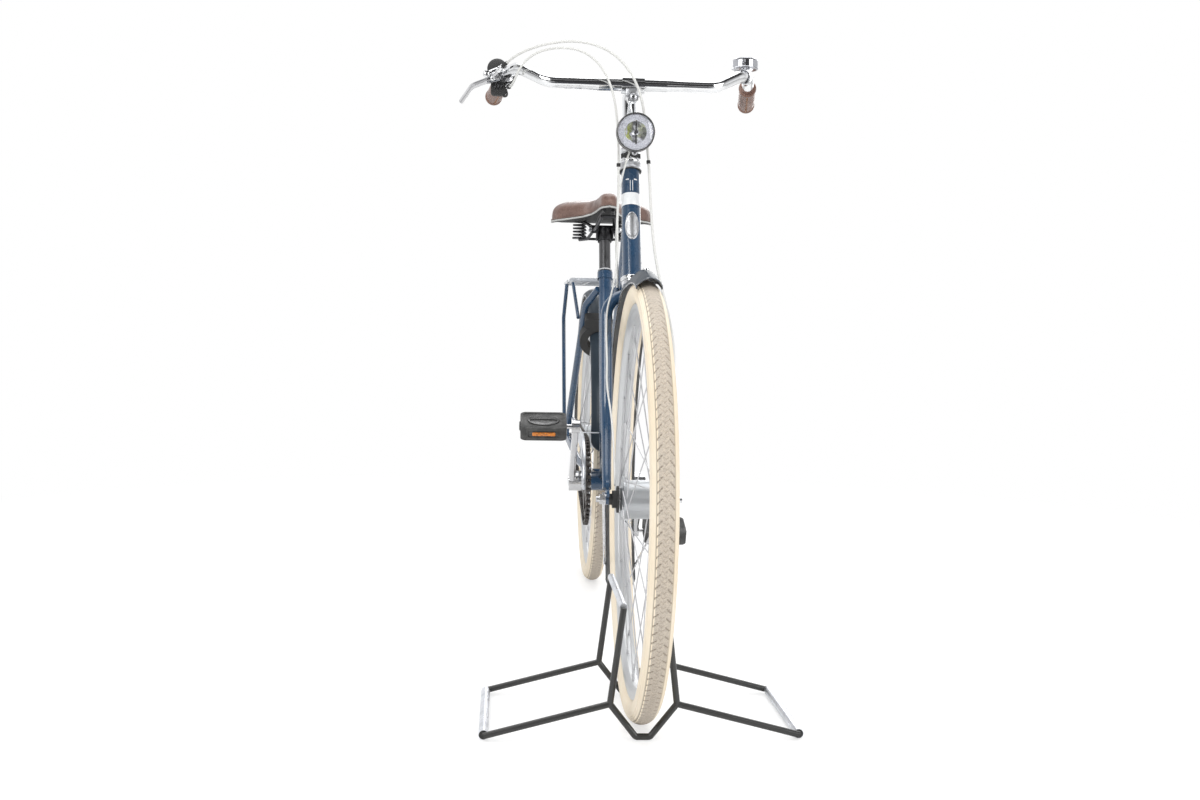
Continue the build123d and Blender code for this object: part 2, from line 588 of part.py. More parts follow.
def front_axle():
    """Fixed front axle with its nuts, the connector cap and the brake plate with its arm."""
    inner = FRONT_HUB_WIDTH / 2
    add("front_axle", fixed_axle(FRONT_AXLE, inner + DROPOUT_THICKNESS, 15, 8, 9.5))
    cap = [(-inner, AXLE_RADIUS), (-inner, 9), (-43, 9), (-43, 14), (-36, 14), (-36, 21.5), (-33, 21.5),
           (-33, AXLE_RADIUS)]
    add("front_hub_cap", turned(cap, FRONT_AXLE))
    plate = turned([(32, AXLE_RADIUS), (32, 30), (36, 31), (40, 27), (43, 12), (inner, 10),
                    (inner, AXLE_RADIUS)], FRONT_AXLE)
    place = Plane(origin=FRONT_AXLE + Vector(33.5, 0, 0), x_dir=tuple(BRAKE_ARM_WAY), z_dir=(1, 0, 0))
    arm = place * extrude(Pos(BRAKE_ARM_LENGTH / 2, 0) * SlotCenterToCenter(BRAKE_ARM_LENGTH, 14), 3)
    pin = rod(BRAKE_PIN + Vector(34, 0, 0), BRAKE_PIN + Vector(49, 0, 0), 4.5)
    axle_hole = rod(FRONT_AXLE, FRONT_AXLE + Vector(60, 0, 0), AXLE_RADIUS)
    add("front_brake_arm", union(plate, arm, pin) - axle_hole)


# ================================================================ frame
DOWN_TUBE_START = on_steering(HEAD_BOTTOM_AT + DOWN_TUBE_UP)
DOWN_TUBE_RUN = (CRANK_AXLE - DOWN_TUBE_START).normalized()
CABLE_STOP = DOWN_TUBE_START + DOWN_TUBE_RUN * 66 - Vector(DOWN_TUBE_RADIUS + 4.6, 0, 0)


def frame_tubes():
    """Head tube, down tube, curved step-through tube, seat tube and crank shell, coped to each other."""
    head_bottom, head_top = on_steering(HEAD_BOTTOM_AT), on_steering(HEAD_TOP_AT)
    head_solid = rod(head_bottom, head_top, HEAD_TUBE_RADIUS)
    add("head_tube", head_solid - rod(head_bottom, head_top, STEERER_RADIUS + 1.3))
    shell_solid = cross_rod(CRANK_AXLE, SHELL_WIDTH / 2, SHELL_RADIUS)
    add("bottom_bracket", shell_solid - cross_rod(CRANK_AXLE, SHELL_WIDTH / 2, SHELL_BORE))
    seat_solid = rod(CRANK_AXLE, SEAT_TUBE_TOP, SEAT_TUBE_RADIUS)
    add("seat_tube", seat_solid - rod(CRANK_AXLE, SEAT_TUBE_TOP, SEAT_POST_RADIUS + 0.1) - shell_solid)
    down = rod(DOWN_TUBE_START, CRANK_AXLE, DOWN_TUBE_RADIUS)
    stop = rod(CABLE_STOP, CABLE_STOP + DOWN_TUBE_RUN * 16, 4)
    web = rod(CABLE_STOP + DOWN_TUBE_RUN * 8, CABLE_STOP + DOWN_TUBE_RUN * 8 + Vector(8, 0, 0), 3)
    add("down_tube", union(down - head_solid - shell_solid - seat_solid, stop, web))
    start = on_steering(HEAD_BOTTOM_AT + STEP_TUBE_UP)
    end = on_seat_tube(STEP_TUBE_FOOT)
    chord = end - start
    middle = (start + end) * 0.5 + Vector(0, chord.Z, -chord.Y).normalized() * STEP_TUBE_SAG
    arc = ThreePointArc(start, middle, end)
    step = sweep(Plane(origin=arc @ 0, z_dir=arc % 0) * Circle(STEP_TUBE_RADIUS), path=arc)
    add("step_tube", step - head_solid - seat_solid)
    return shell_solid, seat_solid


def rear_stays(shell_solid, seat_solid):
    """Chain stays with their bridge and dropouts, and seat stays with theirs."""
    drop = rear_dropout()
    route = [CRANK_AXLE + Vector(22, 8, 2), CRANK_AXLE + Vector(TYRE_WIDTH / 2 + 9, 88, 10),
             CRANK_AXLE + Vector(GUARD_WIDTH / 2 + 23, 182, 22),
             REAR_AXLE + Vector((REAR_HUB_WIDTH + DROPOUT_THICKNESS) / 2, -26, -2)]
    halves = both_sides(bent_rod(route, CHAIN_STAY_RADIUS, 60.0) - shell_solid + drop)
    bridge = first_at_distance(route[0], route[2], REAR_AXLE, GUARD_RADIUS + BRIDGE_RADIUS + 1.3)
    add("chain_stays", union(*halves, cross_rod(Vector(0, bridge.Y, bridge.Z), bridge.X, BRIDGE_RADIUS)))
    stay = bent_rod([SEAT_STAY_TOP, SEAT_STAY_KNEE, SEAT_STAY_FOOT], STAY_RADIUS, 45.0) - seat_solid
    bridge = first_at_distance(SEAT_STAY_KNEE, SEAT_STAY_FOOT, REAR_AXLE, GUARD_RADIUS + BRIDGE_RADIUS + 0.4)
    cross = cross_rod(Vector(0, bridge.Y, bridge.Z), bridge.X, BRIDGE_RADIUS)
    add("seat_stays", union(*both_sides(stay), cross) - both_sides(drop))


def rear_dropout():
    """Left rear dropout plate with a forward-facing slot for the axle."""
    corners = [Pos(-30, 0) * Circle(9), Circle(16), Pos(-12, 30) * Circle(8),
               Pos(EYELET_BACK, EYELET_UP) * Circle(7)]
    outline = make_hull([edge for circle in corners for edge in circle.edges()])
    slot = Pos(-2, 0) * SlotOverall(34, 2 * AXLE_RADIUS + 2 * AXLE_SLOT_PLAY)
    place = Plane(origin=REAR_AXLE + Vector(REAR_HUB_WIDTH / 2, 0, 0), x_dir=(0, 1, 0), z_dir=(1, 0, 0))
    return place * extrude(outline - slot, DROPOUT_THICKNESS)


def rear_axle():
    """Fixed rear axle, its nuts and locknuts, and the coaster brake's arm on the left chain stay."""
    inner = REAR_HUB_WIDTH / 2
    locks = [rod(REAR_AXLE + Vector(s * 53, 0, 0), REAR_AXLE + Vector(s * inner, 0, 0), 11) for s in (-1, 1)]
    add("rear_axle", union(fixed_axle(REAR_AXLE, inner + DROPOUT_THICKNESS, 20, 10, 10), *locks))
    place = Plane(origin=REAR_AXLE + Vector(46, 0, 0), x_dir=(0, -1, -0.28), z_dir=(1, 0, 0))
    arm = place * extrude(Pos(62, 0) * SlotCenterToCenter(124, 16), 3)
    plate = rod(REAR_AXLE + Vector(40, 0, 0), REAR_AXLE + Vector(49, 0, 0), 21)
    add("coaster_arm", plate + arm - rod(REAR_AXLE, REAR_AXLE + Vector(60, 0, 0), AXLE_RADIUS))


def seat():
    """Seat post, its clamp collar, the saddle on its rails, and the coil springs under its rear plate."""
    post_top = on_seat_tube(SEAT_TUBE_LENGTH + SADDLE_RISE - 16)
    post = rod(on_seat_tube(SEAT_TUBE_LENGTH - SEAT_POST_SUNK), post_top, SEAT_POST_RADIUS)
    add("seat_post", post)
    add("seat_collar", tube(on_seat_tube(SEAT_TUBE_LENGTH - 16), SEAT_TUBE_TOP, 17, SEAT_TUBE_RADIUS))
    clamp_at = Pos(*SADDLE_CLAMP)
    edge = Polyline((0, -135), (14, -133), (21, -123), (23, -57), (40, 3), (92, 58), (110, 88), (108, 118),
                    (80, 135), (0, 139), close=True)
    outline = make_face(edge)
    outline = fillet(outline.vertices().filter_by(lambda v: v.X > 1), 5)
    half = clamp_at * Pos(0, 0, 24) * extrude(outline, SADDLE_THICKNESS)
    add("saddle_cover", half + mirror(half, Plane.YZ))
    coil_at = Vector(50, 103, -12)
    rail = bent_rod([Vector(14, -112, 20), Vector(22, -57, 0), Vector(25, 30, -4), Vector(34, 66, -18),
                     coil_at - Vector(0, 0, 6)], 3.5, 18.0)
    cup = Pos(*(coil_at - Vector(0, 0, 4))) * Cylinder(COIL_RADIUS + 3, 4, align=BASE)
    cross_bars = [cross_rod(Vector(0, 0, 0), 30, 9), cross_rod(Vector(0, -112, 20), 14, 3.5),
                  cross_rod(coil_at - Vector(coil_at.X, 0, 3.6), coil_at.X, 3)]
    frame = union(*both_sides(rail), *both_sides(cup), *cross_bars)
    socket = tube(on_seat_tube(SEAT_TUBE_LENGTH + SADDLE_RISE - 30), SADDLE_CLAMP, SEAT_POST_RADIUS + 2.8,
                  SEAT_POST_RADIUS)
    add("saddle_frame", clamp_at * frame + socket - post)
    coil_height = 33.6
    helix = Helix(pitch=COIL_PITCH, height=coil_height + 2 * COIL_WIRE_RADIUS, radius=COIL_RADIUS)
    section = Plane(origin=helix @ 0, z_dir=helix % 0) * Circle(COIL_WIRE_RADIUS)
    wire = sweep(section, path=helix, is_frenet=True)
    ground = Pos(0, 0, COIL_WIRE_RADIUS) * Cylinder(2 * COIL_RADIUS, coil_height, align=BASE)
    coil = clamp_at * Pos(*(coil_at + Vector(0, 0, 0.1 - COIL_WIRE_RADIUS))) * (wire & ground)
    ends = [Pos(side * coil_at.X, coil_at.Y) * Circle(COIL_RADIUS + 4) for side in (-1, 1)]
    plate = clamp_at * Pos(0, 0, 21.9) * extrude(make_hull([e for end in ends for e in end.edges()]), 2)
    add("saddle_springs", both_sides(coil), plate)


def rack():
    """Rear rack: a round-cornered loop with cross bars, and its legs and front struts."""
    half, front, back = RACK_HALF_WIDTH, REAR_AXLE_Y - RACK_AHEAD, REAR_AXLE_Y + RACK_BEHIND
    corners = [(x, y, RACK_HEIGHT) for x, y in ((-half, back), (-half, front), (half, front), (half, back))]
    loop_path = FilletPolyline(*corners, close=True, radius=22.0)
    loop = sweep(Plane(origin=loop_path @ 0, z_dir=loop_path % 0) * Circle(RACK_TUBE_RADIUS), path=loop_path)
    bars = [cross_rod(Vector(0, front + along, RACK_HEIGHT), half, RACK_BAR_RADIUS)
            for along in (65, 165, 265)]
    rails = [rod((x, front, RACK_HEIGHT), (x, back, RACK_HEIGHT), RACK_BAR_RADIUS) for x in (-22, 22)]
    add("rack_platform", union(loop, *bars, *rails))
    reach = REAR_HUB_WIDTH / 2 + DROPOUT_THICKNESS + RACK_LEG_RADIUS + RUNNING_GAP
    leg = bent_rod([Vector(half + 3, REAR_AXLE_Y + 24, RACK_HEIGHT - 5.35),
                    Vector(half + 10, REAR_AXLE_Y + 20, RACK_HEIGHT - 88),
                    REAR_AXLE + Vector(reach, EYELET_BACK, EYELET_UP)], RACK_LEG_RADIUS, 60.0)
    beside = SEAT_STAY_KNEE + (SEAT_STAY_FOOT - SEAT_STAY_KNEE) * 0.096
    strut_foot = beside + Vector(STAY_RADIUS + RACK_BAR_RADIUS + 0.15, 4, 0)
    strut = rod((half - 3, front + 6, RACK_HEIGHT - 8.1), strut_foot, RACK_BAR_RADIUS)
    add("rack_legs", both_sides(leg), both_sides(strut))


# ================================================================ drive
def toothed_face(teeth):
    """Disc with one round seat between each two teeth; the tips stay just inside the chain's rollers."""
    tip = pitch_radius(teeth) - ROLLER_RADIUS - TOOTH_CLEARANCE
    seats = [Rot(0, 0, 360 * k / teeth) * Pos(tip + 0.6, 0) * Circle(ROLLER_RADIUS) for k in range(teeth)]
    return Circle(tip) - seats


def side_plane(centre, x):
    """Plane facing the bicycle's left at a sideways place, with its own X pointing back."""
    return Plane(origin=Vector(x, centre.Y, centre.Z), x_dir=(0, 1, 0), z_dir=(1, 0, 0))


def chainring():
    """Toothed ring on a five-armed spider."""
    band = RING_PITCH_RADIUS - RING_BAND - ROLLER_RADIUS
    teeth = extrude(toothed_face(RING_TEETH) - Circle(band), TOOTH_THICKNESS)
    arm = make_hull([*(Pos(22, 0) * Circle(11)).edges(), *(Pos(band + 6, 0) * Circle(6)).edges()])
    star = Circle(26) + [Rot(0, 0, 360 * k / SPIDER_ARMS) * arm for k in range(SPIDER_ARMS)]
    spider = extrude(star - Circle(SPINDLE_RADIUS + 0.3), SPIDER_THICKNESS, dir=(0, 0, -1))
    inner_face = CHAIN_LINE + TOOTH_THICKNESS / 2
    ring = Pos(0, 0, -TOOTH_THICKNESS) * teeth + spider
    add("chainring", side_plane(CRANK_AXLE, inner_face) * ring)


def crank_arm(side, tip):
    """Forged arm that narrows from the spindle to the pedal's eye, with the fixed pedal pin."""
    out = Vector(side * CRANK_ARM_AT, 0, 0)
    way = (tip - CRANK_AXLE).normalized()
    wide = Plane(origin=CRANK_AXLE + out, x_dir=(side, 0, 0), z_dir=way) * RectangleRounded(14, 30, 5)
    narrow = Plane(origin=tip + out, x_dir=(side, 0, 0), z_dir=way) * RectangleRounded(12, 21, 5)
    eye = rod(tip + Vector(side * 66, 0, 0), tip + Vector(side * 82, 0, 0), 13)
    pin = rod(tip + Vector(side * 82, 0, 0), tip + Vector(side * 178, 0, 0), PEDAL_PIN_RADIUS)
    return union(loft([wide, narrow]), eye, pin)


def pedal():
    """Pedal block on its bearing bore, with sunk tread panels, an oval well and a pocket at each edge."""
    body = Box(PEDAL_LENGTH, PEDAL_DEPTH, PEDAL_HEIGHT)
    body = fillet(body.edges().filter_by(Axis.Z), 12)
    panel = extrude(RectangleRounded(PEDAL_LENGTH - 12, PEDAL_DEPTH - 12, 8) - SlotOverall(46, 20), 1)
    well = extrude(SlotOverall(38, 12), 3)
    edge = Box(PEDAL_LENGTH - 30, 2, PEDAL_HEIGHT - 13)
    cuts = [Pos(0, 0, PEDAL_HEIGHT / 2 - 1) * panel, Pos(0, 0, -PEDAL_HEIGHT / 2) * panel,
            Pos(0, 0, PEDAL_HEIGHT / 2 - 3) * well, Pos(0, 0, -PEDAL_HEIGHT / 2) * well,
            Pos(0, PEDAL_DEPTH / 2 - 1, 0) * edge, Pos(0, 1 - PEDAL_DEPTH / 2, 0) * edge,
            Rot(0, 90, 0) * Cylinder(PEDAL_PIN_RADIUS + RUNNING_GAP, PEDAL_LENGTH + 8)]
    return body - cuts


def drive():
    """Chainring, cranks, pedals, sprocket, chain and chain guard."""
    chainring()
    spindle = cross_rod(CRANK_AXLE, 72, SPINDLE_RADIUS)
    right_hub = rod(CRANK_AXLE + Vector(CHAIN_LINE - 3, 0, 0), CRANK_AXLE - Vector(80, 0, 0), 21)
    add("right_crank", union(right_hub, crank_arm(-1, RIGHT_PEDAL)) - spindle)
    left_hub = rod(CRANK_AXLE + Vector(40, 0, 0), CRANK_AXLE + Vector(80, 0, 0), 19)
    add("left_crank", union(spindle, left_hub, crank_arm(1, LEFT_PEDAL)))
    for name, centre, side in (("right_pedal", RIGHT_PEDAL, -1), ("left_pedal", LEFT_PEDAL, 1)):
        add(name, Pos(*(centre + Vector(side * PEDAL_AT, 0, 0))) * Rot(PEDAL_TILT, 0, 0) * pedal())
    plate = extrude(toothed_face(SPROCKET_TEETH) - Circle(22), TOOTH_THICKNESS)
    plate = side_plane(REAR_AXLE, CHAIN_LINE - TOOTH_THICKNESS / 2) * plate
    carrier = turned([(CHAIN_LINE - 2.5, 10.3), (CHAIN_LINE - 2.5, 25), (CHAIN_LINE + 4, 25),
                      (CHAIN_LINE + 4, 10.3)], REAR_AXLE)
    add("sprocket", plate + carrier)
    chain()
    chain_guard()


def chain_pin(count):
    """Place of one of the chain's pins in the drive's plane, counted in links from the ring's lower side."""
    straight = DRIVE_SPAN * math.sin(CHAIN_LEAN) / CHAIN_PITCH
    on_ring = RING_TEETH * (1 - CHAIN_LEAN / math.pi)
    on_sprocket = SPROCKET_TEETH * CHAIN_LEAN / math.pi
    rear = Vector(REAR_AXLE_Y - CRANK_AXLE_Y, AXLE_Z - CRANK_AXLE_Z)
    upper, lower = DRIVE_SLOPE + CHAIN_LEAN, DRIVE_SLOPE - CHAIN_LEAN

    def spot(centre, radius, angle):
        return centre + Vector(math.cos(angle), math.sin(angle)) * radius

    if count < on_ring:
        return spot(Vector(0, 0), RING_PITCH_RADIUS, lower - 2 * math.pi * count / RING_TEETH)
    count -= on_ring
    if count < straight:
        start = spot(Vector(0, 0), RING_PITCH_RADIUS, upper)
        return start + (spot(rear, SPROCKET_PITCH_RADIUS, upper) - start) * (count / straight)
    count -= straight
    if count < on_sprocket:
        return spot(rear, SPROCKET_PITCH_RADIUS, upper - 2 * math.pi * count / SPROCKET_TEETH)
    start = spot(rear, SPROCKET_PITCH_RADIUS, lower)
    return start + (spot(Vector(0, 0), RING_PITCH_RADIUS, lower) - start) * ((count - on_sprocket) / straight)


def chain():
    """Roller chain: plates in turn inside and outside, on pins with rollers, as one closed loop."""
    pins = [chain_pin(count) for count in range(CHAIN_LINKS)]
    half = [(0, ROLLER_RADIUS), (ROLLER_HALF_WIDTH, ROLLER_RADIUS), (ROLLER_HALF_WIDTH, PIN_RADIUS),
            (PIN_HALF_LENGTH, PIN_RADIUS), (PIN_HALF_LENGTH, 0)]
    bead = turned([(-x, r) for x, r in reversed(half)] + half[1:], (0, 0, 0))
    parts = [Pos(0, pin.X, pin.Y) * bead for pin in pins]
    plate = extrude(Plane.YZ * SlotCenterToCenter(CHAIN_PITCH, PLATE_HEIGHT), PLATE_THICKNESS)
    for index, pin in enumerate(pins):
        run = pins[(index + 1) % CHAIN_LINKS] - pin
        middle = pin + run * 0.5
        turn = math.degrees(math.atan2(run.Y, run.X))
        at = INNER_PLATE_AT if index % 2 == 0 else OUTER_PLATE_AT
        for x in (at, -at - PLATE_THICKNESS):
            parts.append(Pos(x, middle.X, middle.Y) * Rot(turn, 0, 0) * plate)
    add("chain", Pos(CHAIN_LINE, CRANK_AXLE_Y, CRANK_AXLE_Z) * (parts[0] + parts[1:]))


def chain_outline(x, offset):
    """Plane outline round both toothed wheels at a distance outside the chain's centre line."""
    rear = Pos(REAR_AXLE_Y - CRANK_AXLE_Y, AXLE_Z - CRANK_AXLE_Z)
    hull = make_hull([*Circle(RING_PITCH_RADIUS + offset).edges(),
                      *(rear * Circle(SPROCKET_PITCH_RADIUS + offset)).edges()])
    return side_plane(CRANK_AXLE, x) * hull


def chain_guard():
    """Chain guard: a plate outside the chain's upper run with a flange turned in over it."""
    plane_x = CHAIN_LINE - CASE_OUT
    outer = chain_outline(plane_x, CASE_CLEARANCE + CASE_SHEET)
    plate = extrude(outer - chain_outline(plane_x, -16), CASE_SHEET, dir=(-1, 0, 0))
    flange = extrude(outer - chain_outline(plane_x, CASE_CLEARANCE), CASE_FLANGE, dir=(1, 0, 0))
    below = (Pos(*(CRANK_AXLE + Vector(CHAIN_LINE, 0, 8))) * Rot(math.degrees(DRIVE_SLOPE), 0, 0)
             * Pos(0, 0, -CASE_CUT / 2) * Box(80, 1600, CASE_CUT))
    behind = Pos(*(REAR_AXLE + Vector(CHAIN_LINE, 100 - CASE_END_BEFORE_AXLE, 0))) * Box(80, 200, 300)
    seat_at = (RING_PITCH_RADIUS + CASE_CLEARANCE) / math.sin(SEAT_SLOPE - UPPER_RUN_SLOPE) + 2.0
    hold = on_seat_tube(seat_at)
    tab = Pos(-26, hold.Y, hold.Z - 1.6) * Box(24, 16, CASE_SHEET)
    tab = tab - rod(on_seat_tube(seat_at - 30), on_seat_tube(seat_at + 30), SEAT_TUBE_RADIUS + RUNNING_GAP)
    strap_z = CRANK_AXLE_Z + STRAP_AT * math.tan(DRIVE_SLOPE) + STRAP_RISE
    strap = Pos(plane_x - CASE_SHEET / 2, CRANK_AXLE_Y + STRAP_AT, strap_z) * Box(CASE_SHEET, 14, 29)
    add("chain_guard", union((plate + flange) - below - behind, tab, strap))


# ================================================================ small fittings
def ring_lock():
    """Horseshoe lock in front of the seat stays, round the rear tyre."""
    knee, foot = (Vector(0, p.Y, p.Z) for p in (SEAT_STAY_KNEE, SEAT_STAY_FOOT))
    up = (knee - foot).normalized()
    ahead = Vector(0, -up.Z, up.Y)
    stay_ahead = (knee - REAR_AXLE).dot(ahead)
    bore = GUARD_WIDTH / 2 + LOCK_SIDE_CLEARANCE
    reach = GUARD_RADIUS - GUARD_CROWN + LOCK_CORNER_CLEARANCE - math.sqrt(bore**2 - (GUARD_WIDTH / 2) ** 2)
    base = REAR_AXLE + up * reach + ahead * (stay_ahead + STAY_RADIUS + RUNNING_GAP)
    plane = Plane(origin=base, x_dir=(1, 0, 0), z_dir=tuple(ahead))
    sign = 1 if plane.y_dir.dot(up) > 0 else -1
    ring = Circle(bore + 17.5) - Circle(bore) - Pos(0, -sign * 55) * Rectangle(50, 60)
    housing = Pos(-18, sign * (bore + 19.5)) * RectangleRounded(46, 26, 6) - Circle(bore)
    add("ring_lock", plane * extrude(ring + housing, 24))


def rear_light():
    """Small rear lamp on the mudguard."""
    turn = math.radians(62)
    out = Vector(0, math.sin(turn), math.cos(turn))
    plane = Plane(origin=REAR_AXLE + out * (GUARD_RADIUS + RUNNING_GAP), x_dir=(1, 0, 0), z_dir=tuple(out))
    add("rear_light", plane * (Pos(0, 0, 12) * fillet(Box(34, 46, 24).edges().filter_by(Axis.Z), 8)))


def stand():
    """Floor stand: two wire frames that cradle the front tyre, tied by tubes at the feet and at the top."""
    wire, foot_x = STAND_WIRE_RADIUS, STAND_HALF_WIDTH - STAND_TUBE_RADIUS
    top_x = TYRE_WIDTH / 2 + STAND_TYRE_ROOM
    frames = []
    for sign in (-1, 1):
        y = STAND_SHIFT + sign * STAND_DEPTH / 2
        joint = Vector(51, y, STAND_KNEE)
        flat = Vector(11, y, wire + 0.5)
        vee = bent_rod([mirrored(joint), mirrored(flat), flat, joint], wire, 6.0)
        wings = both_sides(rod(joint, (foot_x, y, STAND_TUBE_RADIUS), wire))
        ups = both_sides(rod(joint, (top_x, y, STAND_TOP), wire))
        frames.append(union(vee, *wings, *ups))
    add("stand_frames", frames)
    start, end = STAND_SHIFT - STAND_DEPTH / 2 + wire, STAND_SHIFT + STAND_DEPTH / 2 - wire
    feet = rod((foot_x, start, STAND_TUBE_RADIUS), (foot_x, end, STAND_TUBE_RADIUS), STAND_TUBE_RADIUS)
    tops = rod((top_x, start, STAND_TOP), (top_x, end, STAND_TOP), STAND_TOP_TUBE_RADIUS)
    add("stand_tubes", both_sides(feet), both_sides(tops))


# ================================================================ cables
def cable(points, radius):
    """Cable through a list of points, with an arc at each corner as large as its runs allow."""
    points = [Vector(*p) for p in points]
    radii = []
    for before, at, after in zip(points, points[1:], points[2:]):
        first, second = at - before, after - at
        turn = math.radians(first.get_angle(second))
        radii.append(0.45 * min(first.length, second.length) / math.tan(turn / 2))
    path = FilletPolyline(*[tuple(p) for p in points], radius=radii)
    return sweep(Plane(origin=path @ 0, z_dir=path % 0) * Circle(radius), path=path)


def cables():
    """Brake cable to the front hub, shift cable to its stop on the frame and the lamp's lead."""
    lever_run = Vector(22, -38, 15).normalized()
    brake_route = [LEVER_NOSE + lever_run * 0.2, LEVER_NOSE + lever_run * 30, (-188, 260, 1107),
                   (-150, 240, 1115.5), (-108, 224, 1118), (-66, 212, 1110), (-30, 206, 1089),
                   (-2, 207, 1056), (14, 213, 1016), (21, 220, 974), (26, 222, 930),
                   (29.5, 216, 882), (31.5, 205, 832), (34.5, 191.5, 782), (40, 174, 732),
                   (50, 151, 682), (62, 132, 630), (67, 116, 580), (64, 99, 534),
                   (54, 82, 494), BRAKE_PIN + Vector(44, 1.8, 5.2)]
    add("front_brake_cable", cable(brake_route, CABLE_RADIUS))
    spout_run = Vector(5, -40, -8.5).normalized()
    shift_route = [SHIFTER_SPOUT + spout_run * 0.2, SHIFTER_SPOUT + spout_run * 26, (-208, 276, 1057),
                   (-198, 261, 1078), (-180, 253, 1096), (-155, 246, 1106), (-124, 238, 1109),
                   (-92, 230, 1103), (-66, 225, 1085), (-46, 222, 1056), (-34, 221, 1020),
                   (-28, 222, 978), (-25.5, 224, 934), (-24, 226.5, 888), (-24, 229, 842),
                   (-24.8, 232, 800), (-25.5, 236, 758), CABLE_STOP + Vector(0, -17, 17),
                   CABLE_STOP + Vector(0, -0.15, 0.15)]
    add("shift_cable", cable(shift_route, CABLE_RADIUS))
    along_blade = [on_steering(at, -BLADE_LOW_HALF + sway, FORK_BLADE_RADIUS + 2.0)
                   for at, sway in ((340, 0.6), (295, -0.6), (250, 0.6), (205, -0.6))]
    add("lamp_cable", cable([(-6, 212, 932), (-16, 208, 900), (-25, 199, 860), (-28, 187, 816),
                             (-28, 173, 772), (-30, 160, 728), (-37, 150, 686), *along_blade,
                             (-40, 84, 478), (-38, 57, 436), (-38, 28, 400), (-39, 6, 372)],
                            LAMP_LEAD_RADIUS))


def build():
    """Make every node."""
    front_wheel()
    rear_wheel()
    fork()
    headset()
    stem()
    handlebar()
    bar_controls()
    headlight()
    mudguards()
    front_axle()
    shell_solid, seat_solid = frame_tubes()
    rear_stays(shell_solid, seat_solid)
    rear_axle()
    seat()
    rack()
    drive()
    ring_lock()
    rear_light()
    stand()
    cables()


def middle_of_box():
    """Point on the floor at the middle of the box round every node."""
    boxes = [shape.bounding_box() for shape in NODES.values()]
    low_x, high_x = min(b.min.X for b in boxes), max(b.max.X for b in boxes)
    low_y, high_y = min(b.min.Y for b in boxes), max(b.max.Y for b in boxes)
    return Vector((low_x + high_x) / 2, (low_y + high_y) / 2, 0)


build()
ORIGIN = middle_of_box()
os.makedirs("parts", exist_ok=True)
for name, shape in NODES.items():
    export_step(shape.moved(Location(-ORIGIN)), f"parts/{name}.step")
print("nodes", len(NODES))
print("origin", ORIGIN)
for label, point in (("front_axle", FRONT_AXLE), ("rear_axle", REAR_AXLE), ("crank_axle", CRANK_AXLE),
                     ("steering_foot", STEER_FOOT), ("right_pedal", RIGHT_PEDAL), ("left_pedal", LEFT_PEDAL)):
    print(label, [round(v, 4) for v in (point - ORIGIN)])
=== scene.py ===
"""Looks of a city bicycle in a display stand: finishes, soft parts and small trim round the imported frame.

Lengths are metres in the frame's own axes: +X to the rider's left, +Y back along the bicycle, +Z up.
"""
import json
import logging
import math
from collections.abc import Callable
from dataclasses import dataclass, field
from enum import Enum

import bmesh
import bpy
import numpy as np
from mathutils import Matrix, Vector


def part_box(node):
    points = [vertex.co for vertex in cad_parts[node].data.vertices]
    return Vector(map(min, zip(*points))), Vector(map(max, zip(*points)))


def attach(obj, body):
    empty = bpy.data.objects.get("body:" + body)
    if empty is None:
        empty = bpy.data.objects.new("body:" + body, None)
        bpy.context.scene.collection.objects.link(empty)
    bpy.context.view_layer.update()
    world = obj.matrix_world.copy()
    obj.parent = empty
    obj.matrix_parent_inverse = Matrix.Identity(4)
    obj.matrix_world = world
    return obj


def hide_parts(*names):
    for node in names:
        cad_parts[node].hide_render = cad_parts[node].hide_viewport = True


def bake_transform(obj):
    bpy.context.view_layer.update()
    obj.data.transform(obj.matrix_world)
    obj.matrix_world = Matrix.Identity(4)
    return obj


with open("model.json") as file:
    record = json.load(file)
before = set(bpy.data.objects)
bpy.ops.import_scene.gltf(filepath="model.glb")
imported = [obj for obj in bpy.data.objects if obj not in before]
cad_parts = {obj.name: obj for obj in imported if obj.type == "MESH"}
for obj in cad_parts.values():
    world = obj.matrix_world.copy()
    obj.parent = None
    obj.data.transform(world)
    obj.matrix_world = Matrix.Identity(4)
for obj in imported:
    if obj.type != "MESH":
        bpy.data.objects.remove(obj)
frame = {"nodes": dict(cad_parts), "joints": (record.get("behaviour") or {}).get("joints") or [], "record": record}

logging.basicConfig(level=logging.INFO, format="%(message)s")
LOG = logging.getLogger("bicycle")
Point = tuple[float, float, float]
Colour = tuple[float, float, float, float]


# ------------------------------------------------------------------ places taken from the frame
def joint_place(name: str) -> np.ndarray:
    """Point on a joint's axis, in metres."""
    return next(np.array(j["pos_m"], float) for j in frame["joints"] if j["name"] == name)


def joint_axis(name: str) -> np.ndarray:
    """Unit direction of a joint's axis."""
    axis = next(np.array(j["axis"], float) for j in frame["joints"] if j["name"] == name)
    return axis / np.linalg.norm(axis)


def corners(node: str) -> tuple[np.ndarray, np.ndarray]:
    """Lowest and highest corner of a CAD node, as arrays."""
    low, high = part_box(node)
    return np.array(low), np.array(high)


FRONT_AXLE = joint_place("front_wheel_spin")
REAR_AXLE = joint_place("rear_wheel_spin")
CRANK_AXLE = joint_place("crank_spin")
STEER_FOOT = joint_place("steering")
STEER_AXIS = joint_axis("steering")


